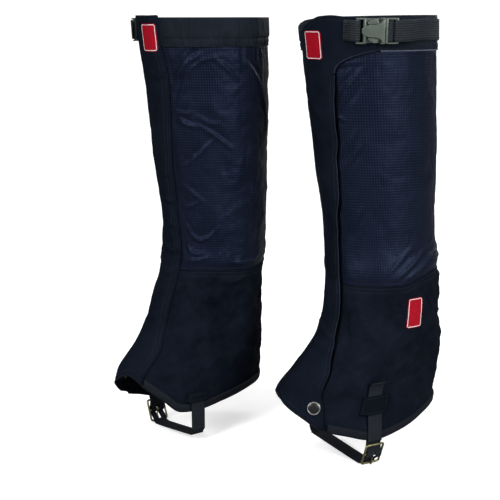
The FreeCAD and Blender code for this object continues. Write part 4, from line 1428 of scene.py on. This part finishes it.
def sewn_patch(limits, plane, middle, inner_side):
    """Sewn patch that bridges the strap, with a stitched border."""
    front, rear, bottom, top = limits
    mid = 0.5 * (bottom + top)
    ends = sorted((around_at(front, mid, inner_side), around_at(rear, mid, inner_side)))

    def layers(around, height):
        here = base(around, height)
        over_strap = (plane - here[..., 0]) / outward(around, height)[..., 0]
        beside = np.abs(here[..., 1] - middle) - STRAP_WIDTH / 2.0 - 0.6
        t = smooth_step(beside / 4.2)
        return 1.75 + (over_strap - 1.75) * (1 - t)
    patch = cloth(*ends, bottom, top, layers, PATCH_THICK, 0.9, PATCH_CLOTH)
    inset = 1.9
    a0, a1 = ends[0] + inset, ends[1] - inset
    h0, h1 = bottom + 2.2, top - 2.2
    corners = [(a0, h0), (a1, h0), (a1, h1), (a0, h1), (a0, h0)]
    rows = [patch]
    for (x0, y0), (x1, y1) in zip(corners, corners[1:]):
        a, h = np.linspace(x0, x1, 24), np.linspace(y0, y1, 24)
        rows.append(stitches(line_on(a, h, PATCH_THICK + THREAD_LIFT, layers), 2.4, 1.7, 0.3))
    return join(rows)


def build_instep_strap():
    """Strap under the boot and the two patches that hold its ends."""
    tunnel = strap_x(78.0, 2.6, False)
    inner_x = strap_x(66.0, 3.3, True)
    gap = STRAP_THICK / 2.0 + 0.4
    outer = sewn_patch(OUTER_PATCH, tunnel + gap, strap_middle(60.0), False)
    inner = sewn_patch(INNER_PATCH, inner_x - gap, strap_middle(-44.0), True)
    settle("patches", "strap_patches", [outer, inner], "shell")

    outer_hem = strap_x(42.0, 3.7, False)
    under = [(inner_x, 69.5), (inner_x, STRAP_SOLE_INNER + 10.0)]
    under += arc((inner_x + 10.0, STRAP_SOLE_INNER + 10.0), 10.0, 180, 262, 8)[1:]
    under += [(36.0, STRAP_SOLE_OUTER), *on_frame_line((-FRAME_PITCH - 3.0, -4.6), (-FRAME_PITCH, -3.4))]
    over = on_frame_line((-FRAME_PITCH, -3.4), (-FRAME_PITCH + 2.5, -2.6), (-2.2, 3.2), (0.0, 3.7),
                         (2.2, 3.2), (3.2, 2.2))
    rise = on_frame_line((3.2, 2.2), (FRAME_PITCH - 2.5, -2.6), (FRAME_PITCH, -3.4),
                         (FRAME_PITCH + 3.0, -3.4))
    rise += [(outer_hem, 38.0), (outer_hem, 52.0), (tunnel, 66.0), (tunnel, 92.0), (tunnel + 0.8, 98.0),
             (tunnel + 3.0, 103.5), (tunnel + 6.5, 107.0)]
    slot = 1.8
    strip = STRAP_WIDTH / 2.0 - slot
    web = MATERIALS["instep_web"]
    parts = [strap(line, strap_space, STRAP_WIDTH, STRAP_THICK, web) for line in (under, rise)]
    for sign in (-1, 1):
        parts.append(strap(over, strap_space, strip, STRAP_THICK, web, sign * (slot + strip / 2)))
    settle("under_strap", "instep_strap", parts, "shell")


def build_frame_tab():
    """Short strap inside the hem that holds the frame buckle's centre bar."""
    edge = STRAP_Y - STRAP_WIDTH / 2.0
    inside = base(np.array(around_at(edge, 45.0, False)), 45.0)[0] - 1.1
    down = [(inside, 68.0), (inside, 41.0), *on_frame_line((FRAME_PITCH + 2.5, -6.4), (5.0, -3.4))]
    loop = [frame_point(5.0, -3.4)] + arc(frame_point(0.0), 2.05, 148.0, 408.0, 16)
    slot = 2.4
    strip = TAB_WIDTH / 2.0 - slot
    web = MATERIALS["instep_web"]
    parts = [strap(down, strap_space, TAB_WIDTH, TAB_THICK, web)]
    for sign in (-1, 1):
        parts.append(strap(loop, strap_space, strip, TAB_THICK, web, sign * (slot + strip / 2)))
    settle("buckle_loop", "frame_tab", parts, "shell")


def on_frame(s, across, n=0.0):
    """Point s up the frame buckle, across it and n outward from its plane."""
    x, z = frame_point(s, n)
    return np.array([x, STRAP_Y + across, z])


def build_frame():
    normal = on_frame(0, 0, 1) - on_frame(0, 0)
    ring = [on_frame(up, across) for across, up in rounded_rectangle(FRAME_HALF_WIDTH, FRAME_PITCH, 2.2, 5)]
    metal = MATERIALS["frame_metal"]
    oval = [(1.3 * x, 1.2 * y) for x, y in round_profile(1.0, 14)]
    rim = sweep(ring, oval, [normal] * len(ring), metal, closed=True)
    bar_path = [on_frame(0, w) for w in np.linspace(-FRAME_HALF_WIDTH, FRAME_HALF_WIDTH, 8)]
    rod = sweep(bar_path, round_profile(1.15, 12), [normal] * 8, metal)
    settle("strap_buckle", "instep_frame", [rim, rod], "frame")


def build_prong():
    bar = frame_point(0.0)
    eye = [(x, STRAP_Y, z) for x, z in arc(bar, 1.93, 0, 345, 23)]
    facing = [np.array([p[0] - bar[0], 0, p[2] - bar[1]]) for p in eye]
    flat = [(-1.35, -0.4), (-1.1, 0.42), (1.1, 0.42), (1.35, -0.4)]
    metal = MATERIALS["frame_metal"]
    hoop = sweep(eye, flat, facing, metal, closed=True)
    normal = on_frame(0, 0, 1) - on_frame(0, 0)
    root, tip = on_frame(-1.6, 0, 1.5), on_frame(-FRAME_PITCH - 1.8, 0, 2.55)
    pin_path = [root + (tip - root) * t for t in np.linspace(0, 1, 16)]
    pin = sweep(pin_path, round_profile(0.95, 12), [normal] * 16, metal)
    settle("buckle_pin", "prong", [hoop, pin], "prong")


for side in SIGN:
    gaiter["side"] = side
    build_upper_panel(side)
    canvas_relief = lower_relief(side)
    build_lower_panel(canvas_relief)
    build_band(side)
    build_binding()
    build_wing(side)
    build_flap(flap_relief(side))
    build_hook_tapes(flap_relief(side))
    build_labels(side, canvas_relief)
    build_snap_cap()
    build_socket()
    build_plug()
    build_latches()
    build_webbing_tab()
    build_strap_end()
    build_top_webbing()
    build_instep_strap()
    build_frame_tab()
    build_frame()
    build_prong()

# pieces kept as they are in the CAD take the procedural materials of their slots
for entry in frame["record"]["subparts"]:
    node = frame["nodes"][entry["node"]]
    node.data.materials.clear()
    node.data.materials.append(MATERIALS[entry["material_slot"]])
    node.data.polygons.foreach_set("use_smooth", [True] * len(node.data.polygons))


# ---- Studio ----

def floor_material():
    """Matt white, a little brighter to the camera than the light alone would make it."""
    n = Nodes("floor_white")
    cloud = n.noise(0.7, 2.0)
    seen = n.add("ShaderNodeLightPath").outputs["Is Camera Ray"]
    pale = n.mix(cloud, (0.90, 0.90, 0.90), (0.92, 0.92, 0.92))
    n.finish(n.mix(seen, (0.22, 0.22, 0.22), pale), 0.8, specular=0.05)
    n.feed(n.shader.inputs["Emission Color"], (1, 1, 1))
    n.feed(n.shader.inputs["Emission Strength"], n.math("MULTIPLY", seen, 0.45))
    return n.material


def make_stage():
    """Pale floor that curves up behind the gaiters, in metres."""
    flat_to, bend_radius, half_wide, front, wall_top = 1.6, 1.4, 7.0, -6.0, 7.0
    away = Vector((-0.829, 0.559, 0.0))
    across = Vector((0.559, 0.829, 0.0))
    centre = Vector((0.0, 0.03, 0.0))
    profile = [(front, 0.0), *arc((flat_to, bend_radius), bend_radius, -90, 0, 12)]
    profile.append((flat_to + bend_radius, wall_top))
    vertices = []
    for d, z in profile:
        for w in (-half_wide, half_wide):
            vertices.append(centre + away * d + across * w + Vector((0, 0, z)))
    faces = [(2 * k, 2 * k + 1, 2 * k + 3, 2 * k + 2) for k in range(len(profile) - 1)]
    new_object("studio_floor", [tuple(v) for v in vertices], faces, floor_material())


def area_light(name, place, target, size, power):
    light = bpy.data.lights.new(name, "AREA")
    light.shape = "RECTANGLE"
    light.size, light.size_y = size
    light.energy = power
    thing = bpy.data.objects.new(name, light)
    bpy.context.scene.collection.objects.link(thing)
    thing.location = place
    thing.rotation_euler = (Vector(target) - Vector(place)).to_track_quat("-Z", "Y").to_euler()


make_stage()
area_light("key", (0.70, -1.80, 1.25), (0, 0, 0.28), (0.7, 1.0), 44)
area_light("side", (1.95, 0.25, 0.9), (0, 0, 0.28), (0.6, 1.1), 44)
area_light("back", (-0.6, 1.9, 1.3), (0, 0, 0.25), (1.2, 1.4), 14)
area_light("top", (0.1, 0.1, 2.4), (0, 0, 0), (2.2, 2.2), 26)

world = bpy.data.worlds.new("studio")
bpy.context.scene.world = world
world.use_nodes = True
background = world.node_tree.nodes["Background"]
background.inputs[0].default_value = (1, 1, 1, 1)
seen_by_camera = world.node_tree.nodes.new("ShaderNodeLightPath").outputs["Is Camera Ray"]
strength = world.node_tree.nodes.new("ShaderNodeMapRange")
strength.inputs["To Min"].default_value = 0.30
strength.inputs["To Max"].default_value = 1.0
world.node_tree.links.new(seen_by_camera, strength.inputs[0])
world.node_tree.links.new(strength.outputs[0], background.inputs[1])

camera_data = bpy.data.cameras.new("camera")
camera = bpy.data.objects.new("camera", camera_data)
bpy.context.scene.collection.objects.link(camera)
camera_data.lens = 86.4
camera_data.sensor_width = 36.0
camera_data.clip_end = 50
AZIMUTH, PITCH = math.radians(56.0), math.radians(11.0)
camera.location = (1.1374, -0.8015, 0.5033)
flat = math.cos(PITCH)
view_direction = Vector((-math.sin(AZIMUTH) * flat, math.cos(AZIMUTH) * flat, -math.sin(PITCH)))
camera.rotation_euler = view_direction.to_track_quat("-Z", "Y").to_euler()
bpy.context.scene.camera = camera
bpy.context.scene.view_settings.view_transform = "Standard"
